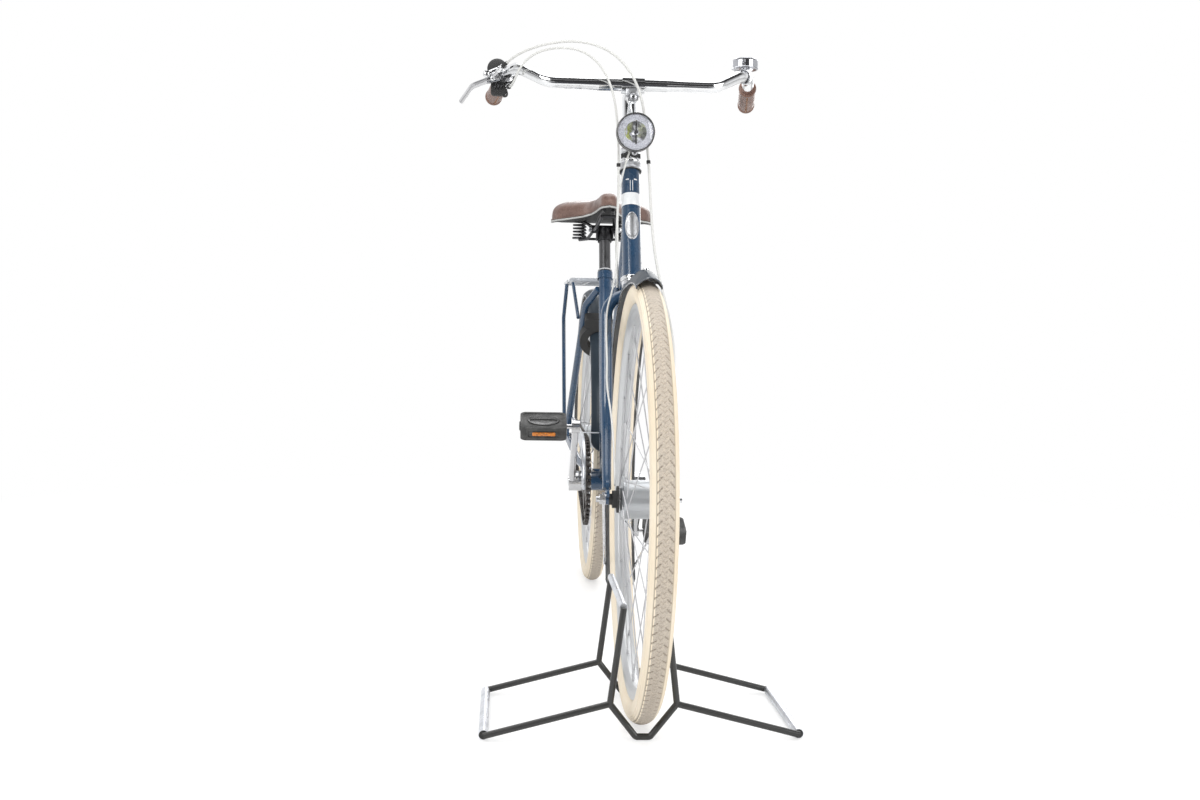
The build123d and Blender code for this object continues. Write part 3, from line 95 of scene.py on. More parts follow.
# ------------------------------------------------------------------ node graphs
class Graph:
    """Node tree of one material, with a short method for each kind of node the finishes share."""

    def __init__(self, name: str) -> None:
        """Starts an empty tree with its output and one principled shader.

        Args:
            name: the material's name.
        """
        self.material = bpy.data.materials.new(name)
        self.material.use_nodes = True
        self.tree = self.material.node_tree
        self.tree.nodes.clear()
        self.output = self.node("ShaderNodeOutputMaterial")
        self.shader = self.node("ShaderNodeBsdfPrincipled")
        self.link(self.shader.outputs[0], self.output.inputs["Surface"])

    def node(self, kind: str, **settings: object) -> bpy.types.Node:
        """Adds a node and sets its plain attributes."""
        made = self.tree.nodes.new(kind)
        for key, value in settings.items():
            setattr(made, key, value)
        return made

    def link(self, start: bpy.types.NodeSocket, end: bpy.types.NodeSocket) -> None:
        """Joins two sockets."""
        self.tree.links.new(start, end)

    def set(self, **values: object) -> None:
        """Sets the shader's own sockets; an underscore in a key stands for a space."""
        for key, value in values.items():
            self.shader.inputs[key.replace("_", " ")].default_value = value

    def place(self, stretch: Point = (1.0, 1.0, 1.0)) -> bpy.types.NodeSocket:
        """Object coordinates, stretched along each axis."""
        source = self.node("ShaderNodeTexCoord")
        mapping = self.node("ShaderNodeMapping")
        mapping.inputs["Scale"].default_value = stretch
        self.link(source.outputs["Object"], mapping.inputs["Vector"])
        return mapping.outputs[0]

    def surface_map(self, stretch: Point = (1.0, 1.0, 1.0)) -> bpy.types.NodeSocket:
        """The piece's own UV map, stretched."""
        source = self.node("ShaderNodeUVMap")
        mapping = self.node("ShaderNodeMapping")
        mapping.inputs["Scale"].default_value = stretch
        self.link(source.outputs["UV"], mapping.inputs["Vector"])
        return mapping.outputs[0]

    def part(self, vector: bpy.types.NodeSocket, axis: str) -> bpy.types.NodeSocket:
        """One number of a vector; axis is X, Y or Z."""
        split = self.node("ShaderNodeSeparateXYZ")
        self.link(vector, split.inputs[0])
        return split.outputs[axis]

    def noise(self, where: bpy.types.NodeSocket, scale: float, detail: float = 4.0,
              rough: float = 0.5) -> bpy.types.NodeSocket:
        """Smooth random field from 0 to 1."""
        made = self.node("ShaderNodeTexNoise")
        made.inputs["Scale"].default_value = scale
        made.inputs["Detail"].default_value = detail
        made.inputs["Roughness"].default_value = rough
        self.link(where, made.inputs["Vector"])
        return made.outputs[0]

    def cells(self, where: bpy.types.NodeSocket, scale: float, feature: str = "F1") -> bpy.types.NodeSocket:
        """Distance inside random cells."""
        made = self.node("ShaderNodeTexVoronoi", feature=feature)
        made.inputs["Scale"].default_value = scale
        self.link(where, made.inputs["Vector"])
        return made.outputs["Distance"]

    def ramp(self, factor: bpy.types.NodeSocket, *stops: tuple[float, Colour]) -> bpy.types.NodeSocket:
        """Colour ramp with any number of stops."""
        made = self.node("ShaderNodeValToRGB")
        elements = made.color_ramp.elements
        while len(elements) < len(stops):
            elements.new(0.5)
        for element, (position, colour) in zip(elements, stops):
            element.position = position
            element.color = colour
        self.link(factor, made.inputs[0])
        return made.outputs[0]

    def span(self, value: bpy.types.NodeSocket, low: float, high: float, new_low: float = 0.0,
             new_high: float = 1.0) -> bpy.types.NodeSocket:
        """Maps a range of numbers to another, clamped."""
        made = self.node("ShaderNodeMapRange")
        for key, number in (("From Min", low), ("From Max", high), ("To Min", new_low), ("To Max", new_high)):
            made.inputs[key].default_value = number
        self.link(value, made.inputs["Value"])
        return made.outputs[0]

    def maths(self, operation: str, first: bpy.types.NodeSocket,
              second: bpy.types.NodeSocket | float = 0.0) -> bpy.types.NodeSocket:
        """One arithmetic step on two numbers."""
        made = self.node("ShaderNodeMath", operation=operation)
        self.link(first, made.inputs[0])
        if isinstance(second, float):
            made.inputs[1].default_value = second
        else:
            self.link(second, made.inputs[1])
        return made.outputs[0]

    def mix(self, factor: bpy.types.NodeSocket, first: object, second: object) -> bpy.types.NodeSocket:
        """Blend of two colours, each a socket or a colour."""
        made = self.node("ShaderNodeMix", data_type="RGBA")
        self.link(factor, made.inputs[0])
        for socket, value in ((made.inputs[6], first), (made.inputs[7], second)):
            if isinstance(value, tuple):
                socket.default_value = value
            else:
                self.link(value, socket)
        return made.outputs[2]

    def bump(self, height: bpy.types.NodeSocket, depth: float, strength: float = 1.0,
             below: bpy.types.NodeSocket | None = None) -> bpy.types.NodeSocket:
        """Surface normal from a height field, on top of another bump if one is given.

        Args:
            height: the field, from 0 to 1.
            depth: metres that a height of 1 stands for.
            strength: share of the effect.
            below: normal socket of a bump under this one.

        Returns:
            The normal socket, already joined to the shader.
        """
        made = self.node("ShaderNodeBump")
        made.inputs["Distance"].default_value = depth
        made.inputs["Strength"].default_value = strength
        self.link(height, made.inputs["Height"])
        if below is not None:
            self.link(below, made.inputs["Normal"])
        self.link(made.outputs[0], self.shader.inputs["Normal"])
        return made.outputs[0]

    def into(self, socket: bpy.types.NodeSocket, name: str) -> None:
        """Joins a socket to one of the shader's."""
        self.link(socket, self.shader.inputs[name])


def shade(colour: Colour, share: float) -> Colour:
    """The colour multiplied by a share, with its alpha kept."""
    return (colour[0] * share, colour[1] * share, colour[2] * share, colour[3])


# ------------------------------------------------------------------ finishes
@dataclass(frozen=True)
class Enamel:
    """Glossy stove enamel: even colour with slight cloudiness, orange peel and a clear coat."""

    name: str
    colour: Colour
    roughness: float = 0.28
    coat: float = 0.8
    cloud: float = 0.12
    peel_scale: float = 420.0
    peel_depth: float = 0.00004

    def build(self) -> bpy.types.Material:
        """Makes the material."""
        g = Graph(self.name)
        where = g.place()
        cloud = g.noise(where, 14.0, 3.0)
        g.into(g.ramp(cloud, (0.3, shade(self.colour, 1 - self.cloud)),
                      (0.7, shade(self.colour, 1 + self.cloud))), "Base Color")
        g.into(g.span(g.noise(where, 60.0, 5.0), 0.3, 0.7, self.roughness - 0.06, self.roughness + 0.08),
               "Roughness")
        g.set(Coat_Weight=self.coat, Coat_Roughness=0.05)
        g.bump(g.noise(where, self.peel_scale, 2.0), self.peel_depth, 0.5)
        return g.material


@dataclass(frozen=True)
class Metal:
    """Bare or plated metal: fine scratches along one axis, cloudy polish and a little grime."""

    name: str
    colour: Colour
    roughness: float = 0.2
    grain: Point = (1.0, 1.0, 1.0)
    grain_scale: float = 500.0
    grain_depth: float = 0.00003
    grime: float = 0.15

    def build(self) -> bpy.types.Material:
        """Makes the material."""
        g = Graph(self.name)
        where = g.place(self.grain)
        lines = g.noise(where, self.grain_scale, 3.0)
        stain = g.noise(g.place(), 38.0, 6.0, 0.62)
        g.into(g.ramp(stain, (0.36, shade(self.colour, 1 - self.grime)), (0.58, self.colour)), "Base Color")
        rough = g.maths("ADD", g.span(stain, 0.3, 0.7, self.roughness * 1.5, self.roughness * 0.75),
                        g.span(lines, 0.3, 0.7, 0.0, 0.06))
        g.into(rough, "Roughness")
        g.set(Metallic=1.0)
        g.bump(lines, self.grain_depth, 0.6)
        return g.material


@dataclass(frozen=True)
class Moulded:
    """Moulded plastic or rubber: fine pebble grain and rubbed lighter patches."""

    name: str
    colour: Colour
    roughness: float = 0.5
    pebble_scale: float = 900.0
    pebble_depth: float = 0.00012
    rubbed: float = 0.25

    def build(self) -> bpy.types.Material:
        """Makes the material."""
        g = Graph(self.name)
        where = g.place()
        rub = g.noise(where, 45.0, 6.0, 0.6)
        g.into(g.ramp(rub, (0.42, self.colour), (0.72, shade(self.colour, 1 + 4 * self.rubbed))), "Base Color")
        g.into(g.span(rub, 0.35, 0.7, self.roughness + 0.08, self.roughness - 0.1), "Roughness")
        pebble = g.cells(where, self.pebble_scale)
        g.bump(pebble, self.pebble_depth, 0.5)
        return g.material


@dataclass(frozen=True)
class CreamTyre:
    """Cream rubber with a dusty brown running band, read from the tyre's own map (V runs across), and painted shade in
    the tread's grooves.
    """

    name: str = "cream_tyre"
    cream: Colour = (0.78, 0.67, 0.51, 1.0)
    pale: Colour = (0.84, 0.76, 0.63, 1.0)
    worn: Colour = (0.38, 0.33, 0.28, 1.0)
    # Colour of the painted shade in the tread's grooves.
    groove: Colour = (0.17, 0.135, 0.10, 1.0)
    band: float = 0.155

    def build(self) -> bpy.types.Material:
        """Makes the material."""
        g = Graph(self.name)
        where = g.place()
        across = g.part(g.surface_map(), "Y")
        middle = g.maths("ABSOLUTE", g.maths("SUBTRACT", across, 0.5))
        patchy = g.noise(where, 42.0, 6.0, 0.65)
        edge = g.maths("ADD", middle, g.span(patchy, 0.2, 0.8, -0.012, 0.012))
        worn = g.span(edge, self.band - 0.006, self.band + 0.006, 1.0, 0.0)
        dust = g.maths("MULTIPLY", worn, g.span(g.noise(where, 520.0, 4.0, 0.7), 0.35, 0.62, 0.55, 1.0))
        side = g.ramp(g.noise(where, 9.0, 4.0), (0.3, self.cream), (0.75, self.pale))
        # Painted shade: where the groove attribute marks a slot, sipe or ring, the colour is darkened towards the
        # groove colour.
        groove_shade_mask = g.node("ShaderNodeAttribute")
        groove_shade_mask.attribute_name = "groove"
        g.into(g.mix(g.maths("MULTIPLY", groove_shade_mask.outputs["Fac"], 0.75), g.mix(dust, side, self.worn), self.groove), "Base Color")
        g.into(g.span(patchy, 0.3, 0.7, 0.55, 0.75), "Roughness")
        rings = g.noise(g.surface_map((2.0, 160.0, 1.0)), 1.0, 2.0)
        low = g.bump(rings, 0.0002, 0.4)
        g.bump(g.noise(where, 800.0, 3.0), 0.00025, 0.6, low)
        return g.material


@dataclass(frozen=True)
class Leather:
    """Brown leather: pebbled creases with painted shade darkening the folds, and rubbed pale where it is sat on or
    held.
    """

    name: str
    colour: Colour
    light: Colour
    crease_scale: float = 260.0
    crease_depth: float = 0.0004

    def build(self) -> bpy.types.Material:
        """Makes the material."""
        g = Graph(self.name)
        where = g.place()
        wander = g.noise(where, 22.0, 5.0, 0.6)
        crease = g.cells(where, self.crease_scale, "DISTANCE_TO_EDGE")
        # Painted shade: near the cells' edges the colour darkens, as shade in the creases.
        painted_shade_share = g.span(crease, 0.0, 0.12, 0.55, 0.0)
        skin = g.ramp(wander, (0.32, self.colour), (0.72, self.light))
        g.into(g.mix(painted_shade_share, skin, shade(self.colour, 0.45)), "Base Color")
        g.into(g.span(wander, 0.3, 0.7, 0.5, 0.32), "Roughness")
        g.set(Coat_Weight=0.25, Coat_Roughness=0.25)
        g.bump(g.span(crease, 0.0, 0.25), self.crease_depth, 0.5)
        return g.material


@dataclass(frozen=True)
class ClearPlastic:
    """Clear lens: glassy with faint moulding flow."""

    name: str = "clear_lens"
    tint: Colour = (0.97, 0.98, 1.0, 1.0)

    def build(self) -> bpy.types.Material:
        """Makes the material."""
        g = Graph(self.name)
        where = g.place()
        g.set(Transmission_Weight=1.0, IOR=1.46, Base_Color=self.tint)
        g.into(g.span(g.noise(where, 90.0, 3.0), 0.3, 0.7, 0.01, 0.05), "Roughness")
        g.bump(g.noise(where, 160.0, 2.0), 0.00003, 0.4)
        return g.material


@dataclass(frozen=True)
class GuardEnamel:
    """Slate enamel outside the guard and silver inside it, by the guard's own map (V runs round its section)."""

    name: str = "guard_enamel"
    outside: Colour = (0.027, 0.038, 0.050, 1.0)
    inside: Colour = (0.40, 0.42, 0.45, 1.0)

    def build(self) -> bpy.types.Material:
        """Makes the material."""
        g = Graph(self.name)
        where = g.place()
        across = g.part(g.surface_map(), "Y")
        cloud = g.noise(where, 12.0, 4.0)
        slate = g.ramp(cloud, (0.3, shade(self.outside, 0.85)), (0.7, shade(self.outside, 1.2)))
        g.into(g.mix(g.span(across, 0.499, 0.501), slate, self.inside), "Base Color")
        g.into(g.span(g.noise(where, 55.0, 5.0), 0.3, 0.7, 0.38, 0.5), "Roughness")
        g.set(Coat_Weight=0.12, Coat_Roughness=0.12, Specular_IOR_Level=0.12)
        g.bump(g.noise(where, 380.0, 2.0), 0.00004, 0.5)
        return g.material


@dataclass(frozen=True)
class PatternedRing:
    """Pale moulded ring with a fine faceted pattern of cells over radial ribs, round a lamp's mirror."""

    name: str
    colour: Colour = (0.90, 0.90, 0.93, 1.0)
    dark: Colour = (0.50, 0.50, 0.55, 1.0)

    def build(self) -> bpy.types.Material:
        """Makes the material."""
        g = Graph(self.name)
        where = g.place()
        facets = g.cells(where, 620.0)
        g.into(g.ramp(facets, (0.15, self.colour), (0.75, self.dark)), "Base Color")
        g.into(g.span(facets, 0.1, 0.8, 0.22, 0.5), "Roughness")
        g.set(Metallic=0.15)
        g.bump(facets, 0.0005, 0.8)
        return g.material


@dataclass(frozen=True)
class FacetedMirror:
    """Bright mirror in flat facets; the facets on one side of the middle carry a yellow-green tint."""

    name: str
    middle: float
    bright: Colour = (0.92, 0.92, 0.95, 1.0)
    tint: Colour = (0.55, 0.60, 0.12, 1.0)

    def build(self) -> bpy.types.Material:
        """Makes the material."""
        g = Graph(self.name)
        where = g.place()
        facets = g.node("ShaderNodeTexVoronoi", feature="F1")
        facets.inputs["Scale"].default_value = 130.0
        g.link(where, facets.inputs["Vector"])
        off = g.maths("SUBTRACT", g.part(where, "X"), self.middle)
        chance = g.part(facets.outputs["Color"], "X")
        tinted = g.maths("MULTIPLY", g.span(off, -0.0125, -0.0035, 1.0, 0.0), g.span(chance, 0.35, 0.45))
        shadowed = g.mix(g.span(chance, 0.2, 0.8), self.bright, shade(self.bright, 0.30))
        g.into(g.mix(tinted, shadowed, self.tint), "Base Color")
        g.into(g.span(chance, 0.0, 1.0, 0.08, 0.3), "Roughness")
        g.set(Metallic=0.55)
        g.bump(facets.outputs["Distance"], 0.0006, 0.7)
        return g.material


@dataclass(frozen=True)
class Prismatic:
    """Translucent reflector plastic with a fine square prism pattern behind a glossy face."""

    name: str
    colour: Colour

    def build(self) -> bpy.types.Material:
        """Makes the material."""
        g = Graph(self.name)
        prisms = g.cells(g.place(), 480.0)
        g.into(g.ramp(prisms, (0.1, shade(self.colour, 1.15)), (0.7, shade(self.colour, 0.45))), "Base Color")
        g.into(g.span(prisms, 0.1, 0.7, 0.12, 0.3), "Roughness")
        g.set(Coat_Weight=0.8, Coat_Roughness=0.04)
        g.bump(prisms, 0.0004, 0.6)
        return g.material


class Finishes(Enum):
    """Every finish on the bicycle, by the maker's plain name for it."""

    BLUE_ENAMEL = Enamel("blue_enamel", (0.017, 0.050, 0.104, 1.0))
    GUARD_ENAMEL = GuardEnamel()
    GUARD_EDGE = Enamel("guard_edge", (0.05, 0.062, 0.08, 1.0), roughness=0.25)
    SLATE_ENAMEL = Enamel("slate_enamel", (0.052, 0.075, 0.102, 1.0), roughness=0.3)
    SILVER_ENAMEL = Enamel("silver_enamel", (0.62, 0.63, 0.65, 1.0), roughness=0.3, cloud=0.05)
    PALE_BAND = Enamel("pale_band", (0.78, 0.79, 0.80, 1.0), roughness=0.3, cloud=0.05)
    GREY_ENAMEL = Enamel("grey_enamel", (0.42, 0.44, 0.47, 1.0), roughness=0.3, cloud=0.05)
    BLACK_ENAMEL = Enamel("black_enamel", (0.022, 0.022, 0.021, 1.0), roughness=0.38, coat=0.4)
    DARK_STEEL = Metal("dark_steel", (0.085, 0.085, 0.09, 1.0), roughness=0.3, grime=0.2)
    SATIN_POST = Metal("satin_post", (0.15, 0.15, 0.155, 1.0), roughness=0.32, grime=0.1)
    BELL_CHROME = Metal("bell_chrome", (0.56, 0.57, 0.60, 1.0), roughness=0.14, grime=0.12)
    CLAMP_SILVER = Metal("clamp_silver", (0.55, 0.56, 0.58, 1.0), roughness=0.3, grime=0.15)
    CHROME = Metal("chrome_plate", (0.88, 0.89, 0.90, 1.0), roughness=0.06, grime=0.06, grain_depth=0.00001)
    BADGE = Metal("badge_metal", (0.72, 0.73, 0.75, 1.0), roughness=0.3, grime=0.25, grain_depth=0.00005)
    HUB_ALLOY = Metal("hub_alloy", (0.60, 0.64, 0.68, 1.0), roughness=0.34, grain=(1.0, 0.1, 0.1))
    RIM_ALLOY = Metal("rim_alloy", (0.92, 0.93, 0.96, 1.0), roughness=0.34, grain=(1.0, 0.2, 0.2))
    CRANK_ALLOY = Metal("crank_alloy", (0.86, 0.87, 0.89, 1.0), roughness=0.22)
    SPOKE_STEEL = Metal("spoke_steel", (0.80, 0.81, 0.82, 1.0), roughness=0.2)
    PLATED_WIRE = Metal("plated_wire", (0.78, 0.79, 0.81, 1.0), roughness=0.22)
    ZINC_TUBE = Metal("zinc_tube", (0.78, 0.80, 0.84, 1.0), roughness=0.28)
    OILED_STEEL = Metal("oiled_steel", (0.115, 0.105, 0.10, 1.0), roughness=0.35, grime=0.5)
    BLACK_PLASTIC = Moulded("black_plastic", (0.022, 0.022, 0.022, 1.0), roughness=0.42)
    PEDAL_WELL = Moulded("pedal_well", (0.014, 0.014, 0.014, 1.0), roughness=0.3, rubbed=0.1, pebble_depth=0.00002)
    PEDAL_RUBBER = Moulded("pedal_rubber", (0.046, 0.046, 0.045, 1.0), roughness=0.7, pebble_scale=520.0,
                           pebble_depth=0.0006)
    LAMP_SHELL = Moulded("lamp_shell", (0.020, 0.020, 0.022, 1.0), roughness=0.18, pebble_depth=0.00002)
    CABLE_GREY = Moulded("cable_grey", (0.27, 0.275, 0.30, 1.0), roughness=0.4, rubbed=0.05, pebble_depth=0.00004)
    LEAD_BLACK = Moulded("lead_black", (0.028, 0.028, 0.028, 1.0), roughness=0.4)
    RED_LENS = Prismatic("red_lens", (0.42, 0.012, 0.010, 1.0))
    AMBER = Prismatic("amber_reflector", (0.85, 0.26, 0.02, 1.0))
    RIM_STRIP = Moulded("rim_strip", (0.44, 0.44, 0.43, 1.0), roughness=0.5, rubbed=0.1, pebble_scale=600.0)
    THREAD = Moulded("waxed_thread", (0.34, 0.20, 0.13, 1.0), roughness=0.7, rubbed=0.1)
    SADDLE_LEATHER = Leather("saddle_leather", (0.115, 0.060, 0.046, 1.0), (0.24, 0.145, 0.115, 1.0),
                             crease_depth=0.0003)
    GRIP_LEATHER = Leather("grip_leather", (0.135, 0.062, 0.040, 1.0), (0.27, 0.15, 0.11, 1.0), crease_scale=420.0)
    TYRE = CreamTyre()
    LENS = ClearPlastic()
    LAMP_RING = PatternedRing("lamp_ring")
    LAMP_MIRROR = FacetedMirror("lamp_mirror", float(FRONT_AXLE[0]))

    def made(self) -> bpy.types.Material:
        """The finish's material, made once."""
        return bpy.data.materials.get(self.value.name) or self.value.build()


SLOT_FINISH = {
    "frame_paint": Finishes.BLUE_ENAMEL, "mudguard_paint": Finishes.SLATE_ENAMEL, "chrome": Finishes.CHROME,
    "stay_wire": Finishes.PLATED_WIRE, "hub_alloy": Finishes.HUB_ALLOY, "rim_alloy": Finishes.RIM_ALLOY,
    "spoke_steel": Finishes.SPOKE_STEEL, "crank_alloy": Finishes.CRANK_ALLOY, "guard_silver": Finishes.SILVER_ENAMEL,
    "chain_steel": Finishes.OILED_STEEL, "black_plastic": Finishes.BLACK_PLASTIC,
    "black_steel": Finishes.BLACK_ENAMEL, "rack_paint": Finishes.GREY_ENAMEL, "stand_tube_steel": Finishes.ZINC_TUBE,
    "tyre_cream": Finishes.TYRE, "grip_brown": Finishes.GRIP_LEATHER, "saddle_brown": Finishes.SADDLE_LEATHER,
    "cable_grey": Finishes.CABLE_GREY, "lead_black": Finishes.LEAD_BLACK, "lamp_shell": Finishes.LAMP_SHELL,
    "lamp_lens": Finishes.LENS, "lamp_red": Finishes.RED_LENS, "pedal_black": Finishes.PEDAL_RUBBER,
}

NODE_FINISH = {
    "saddle_frame": Finishes.DARK_STEEL, "saddle_springs": Finishes.DARK_STEEL, "seat_post": Finishes.SATIN_POST,
    "seat_collar": Finishes.BLUE_ENAMEL, "lamp_cable": Finishes.CABLE_GREY,
}


def dress_cad_nodes() -> None:
    """Gives every CAD node its own finish where it has one, and otherwise that of its record slot."""
    slots = {entry["node"]: entry["material_slot"] for entry in frame["record"]["subparts"]}
    for node, thing in frame["nodes"].items():
        thing.data.materials.clear()
        thing.data.materials.append(NODE_FINISH.get(node, SLOT_FINISH[slots[node]]).made())
        LOG.info("finish %s: %s", node, slots[node])


# ------------------------------------------------------------------ places in millimetres
MM = 0.001
GROUND = np.array([FRONT_AXLE[0], FRONT_AXLE[1], 0.0])
SIDE, BACK, UP = np.eye(3)


def mm(place: np.ndarray) -> np.ndarray:
    """A place of the frame, in millimetres from the floor under the front axle."""
    return (np.asarray(place, float) - GROUND) / MM


def box_mm(node: str) -> tuple[np.ndarray, np.ndarray]:
    """Lowest and highest corner of a CAD node, in millimetres from the floor under the front axle."""
    low, high = corners(node)
    return mm(low), mm(high)


def spot(x: float, y: float, z: float) -> np.ndarray:
    """A place or a step, in millimetres: to the rider's left, back and up."""
    return np.array([x, y, z], float)


def unit(vectors: np.ndarray) -> np.ndarray:
    """The vectors at length 1."""
    vectors = np.asarray(vectors, float)
    return vectors / np.linalg.norm(vectors, axis=-1, keepdims=True)


FRONT, REAR, CRANK, FOOT = mm(FRONT_AXLE), mm(REAR_AXLE), mm(CRANK_AXLE), mm(STEER_FOOT)
STEER_UP = STEER_AXIS * np.sign(STEER_AXIS[2])
STEER_AHEAD = spot(0.0, -STEER_UP[2], STEER_UP[1])
SEAT_UP = STEER_UP
BAR = spot(0.0, box_mm("handlebar")[0][1] + 12.7, box_mm("handlebar")[0][2] + 12.7)
GRIP_START, GRIP_END = BAR + spot(221, 82, 29), BAR + spot(247, 240, 11)
GRIP_WAY = unit(GRIP_END - GRIP_START)
MIRROR = spot(-1, 1, 1)


def steer(at: float, side: float = 0.0, ahead: float = 0.0) -> np.ndarray:
    """A place by its height along the steering axis, its distance sideways and its distance ahead of the axis."""
    return FOOT + STEER_UP * at + SIDE * side + STEER_AHEAD * ahead


def on_seat_tube(at: float, side: float = 0.0, back: float = 0.0) -> np.ndarray:
    """A place by its height along the seat tube from the crank axle, its distance sideways and behind."""
    return CRANK + SEAT_UP * at + SIDE * side - STEER_AHEAD * back


# ------------------------------------------------------------------ mesh making
@dataclass
class Grid:
    """A surface given on a grid of points, in millimetres; the two flags join its far edges."""

    points: np.ndarray
    wrap_u: bool = False
    wrap_v: bool = False

    def quads(self) -> tuple[np.ndarray, np.ndarray]:
        """Corner numbers of each face, and the map place of each corner as shares of rows and columns."""
        rows, columns = self.points.shape[:2]
        spans = rows - (not self.wrap_u), columns - (not self.wrap_v)
        row, column = np.meshgrid(np.arange(spans[0]), np.arange(spans[1]), indexing="ij")
        rounds = [(row, column), (row, column + 1), (row + 1, column + 1), (row + 1, column)]
        index = np.stack([(r % rows) * columns + c % columns for r, c in rounds], axis=-1)
        places = np.stack([np.stack([r / spans[0], c / spans[1]], axis=-1) for r, c in rounds], axis=-2)
        return index.reshape(-1, 4), places.reshape(-1, 4, 2)


def piece(name: str, *grids: Grid, sharp: float = 0.6, merge: bool = True) -> bpy.types.Object:
    """Mesh object of one or more grids, each point moved from millimetres to the frame's metres.

    Args:
        name: the piece's name.
        grids: the surfaces; a face's front is where its columns turn anticlockwise round its rows.
        sharp: angle between faces, in radians, from which an edge shows sharp.
        merge: welds points that coincide, which closes poles and seams.

    Returns:
        The new object, at the origin.
    """
    faces, places, start = [], [], 0
    for grid in grids:
        index, place = grid.quads()
        faces.append(index + start)
        places.append(place)
        start += grid.points.shape[0] * grid.points.shape[1]
    vertices = np.concatenate([grid.points.reshape(-1, 3) for grid in grids]) * MM + GROUND
    mesh = bpy.data.meshes.new(name)
    mesh.from_pydata(vertices.tolist(), [], np.concatenate(faces).tolist())
    layer = mesh.uv_layers.new(name="UVMap")
    layer.data.foreach_set("uv", np.concatenate(places).astype(np.float32).ravel())
    if merge:
        work = bmesh.new()
        work.from_mesh(mesh)
        bmesh.ops.remove_doubles(work, verts=work.verts, dist=1e-6)
        work.to_mesh(mesh)
        work.free()
    mesh.polygons.foreach_set("use_smooth", np.ones(len(mesh.polygons), bool))
    mesh.set_sharp_from_angle(angle=sharp)
    mesh.update()
    thing = bpy.data.objects.new(name, mesh)
    bpy.context.scene.collection.objects.link(thing)
    return thing


def dressed(thing: bpy.types.Object, finish: "Finishes", body: str | None, slot: str,
            *replaced: str) -> bpy.types.Object:
    """Finishes a piece, sets its body, if it rides on one alone, and hides the nodes it stands for."""
    thing.data.materials.clear()
    thing.data.materials.append(finish.made())
    if body:
        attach(thing, body)
    if replaced:
        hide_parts(*replaced)
    LOG.info("piece %s on %s: %d faces", thing.name, body, len(thing.data.polygons))
    return thing


def ring(radius: float, sides: int = 16, flat: float = 1.0) -> np.ndarray:
    """Round section, squeezed across by a share."""
    turn = np.linspace(0, 2 * np.pi, sides, endpoint=False)
    return np.stack([radius * np.cos(turn), radius * flat * np.sin(turn)], axis=-1)


def rounded(width: float, height: float, corner: float, steps: int = 4) -> np.ndarray:
    """Rectangular section with round corners: four quarter circles about the inner corners."""
    turn = (np.arange(4)[:, None] + np.linspace(0, 1, steps)[None, :]) * np.pi / 2
    turn = turn.ravel()
    across = np.repeat([1, -1, -1, 1], steps) * (width / 2 - corner)
    along = np.repeat([1, 1, -1, -1], steps) * (height / 2 - corner)
    return np.stack([across + corner * np.cos(turn), along + corner * np.sin(turn)], axis=-1)


def sweep(path: np.ndarray, section: np.ndarray, scale: np.ndarray | float = 1.0, reference: np.ndarray = UP,
          closed: bool = False, caps: bool = True) -> Grid:
    """A section carried along a path.

    Each point is the path's place, plus the section's first number along the side vector (the path's way
    crossed with the reference) and its second along the vector square to both.

    Args:
        path: places, one row each.
        section: anticlockwise outline, one row each.
        scale: size of the section at each place.
        reference: vector, or one for each place, that the path never runs along.
        closed: joins the path's ends.
        caps: closes an open path's ends.

    Returns:
        The swept surface.
    """
    path = np.asarray(path, float)
    along = unit(np.roll(path, -1, axis=0) - np.roll(path, 1, axis=0) if closed else np.gradient(path, axis=0))
    side = unit(np.cross(along, reference))
    upright = np.cross(along, side)
    size = np.broadcast_to(np.asarray(scale, float).reshape(-1, 1, 1), (len(path), 1, 1))
    points = path[:, None] + size * (section[None, :, :1] * side[:, None] + section[None, :, 1:] * upright[:, None])
    if caps and not closed:
        ends = np.broadcast_to(path[[0, -1], None], (2, *points.shape[1:]))
        points = np.concatenate([ends[:1], points, ends[1:]])
    return Grid(points, wrap_u=closed, wrap_v=True)


def lathe(place: np.ndarray, axis: np.ndarray, profile: list[tuple[float, ...]], sides: int = 32) -> Grid:
    """A profile turned about an axis.

    Each point is the place, plus the axis times the profile's first number, plus its second times a unit
    vector at the turn. A third number of 1 makes that row a hexagon with the radius at its corners.
    """
    axis = unit(axis)
    first = unit(np.cross(axis, BACK if abs(axis[1]) < 0.9 else UP))
    second = np.cross(axis, first)
    rows = np.array([(*row, 0.0)[:3] for row in profile], float)
    turn = np.linspace(0, 2 * np.pi, sides, endpoint=False)
    six = np.cos(np.pi / 6) / np.cos(np.mod(turn, np.pi / 3) - np.pi / 6)
    reach = rows[:, 1:2] * np.where(rows[:, 2:3] > 0, six, 1.0)
    points = (place + rows[:, :1, None] * axis + reach[..., None]
              * (np.cos(turn)[None, :, None] * first + np.sin(turn)[None, :, None] * second))
    return Grid(points, wrap_v=True)


def capsule(start: np.ndarray, end: np.ndarray, radius: float, sides: int = 10) -> Grid:
    """Round-ended rod between two places."""
    length = float(np.linalg.norm(end - start))
    turn = np.linspace(0, np.pi / 2, 4)
    profile = [(-radius * c, radius * s) for c, s in zip(np.cos(turn), np.sin(turn))]
    profile += [(length + radius * s, radius * c) for c, s in zip(np.cos(turn), np.sin(turn))]
    return lathe(start, end - start, profile, sides)


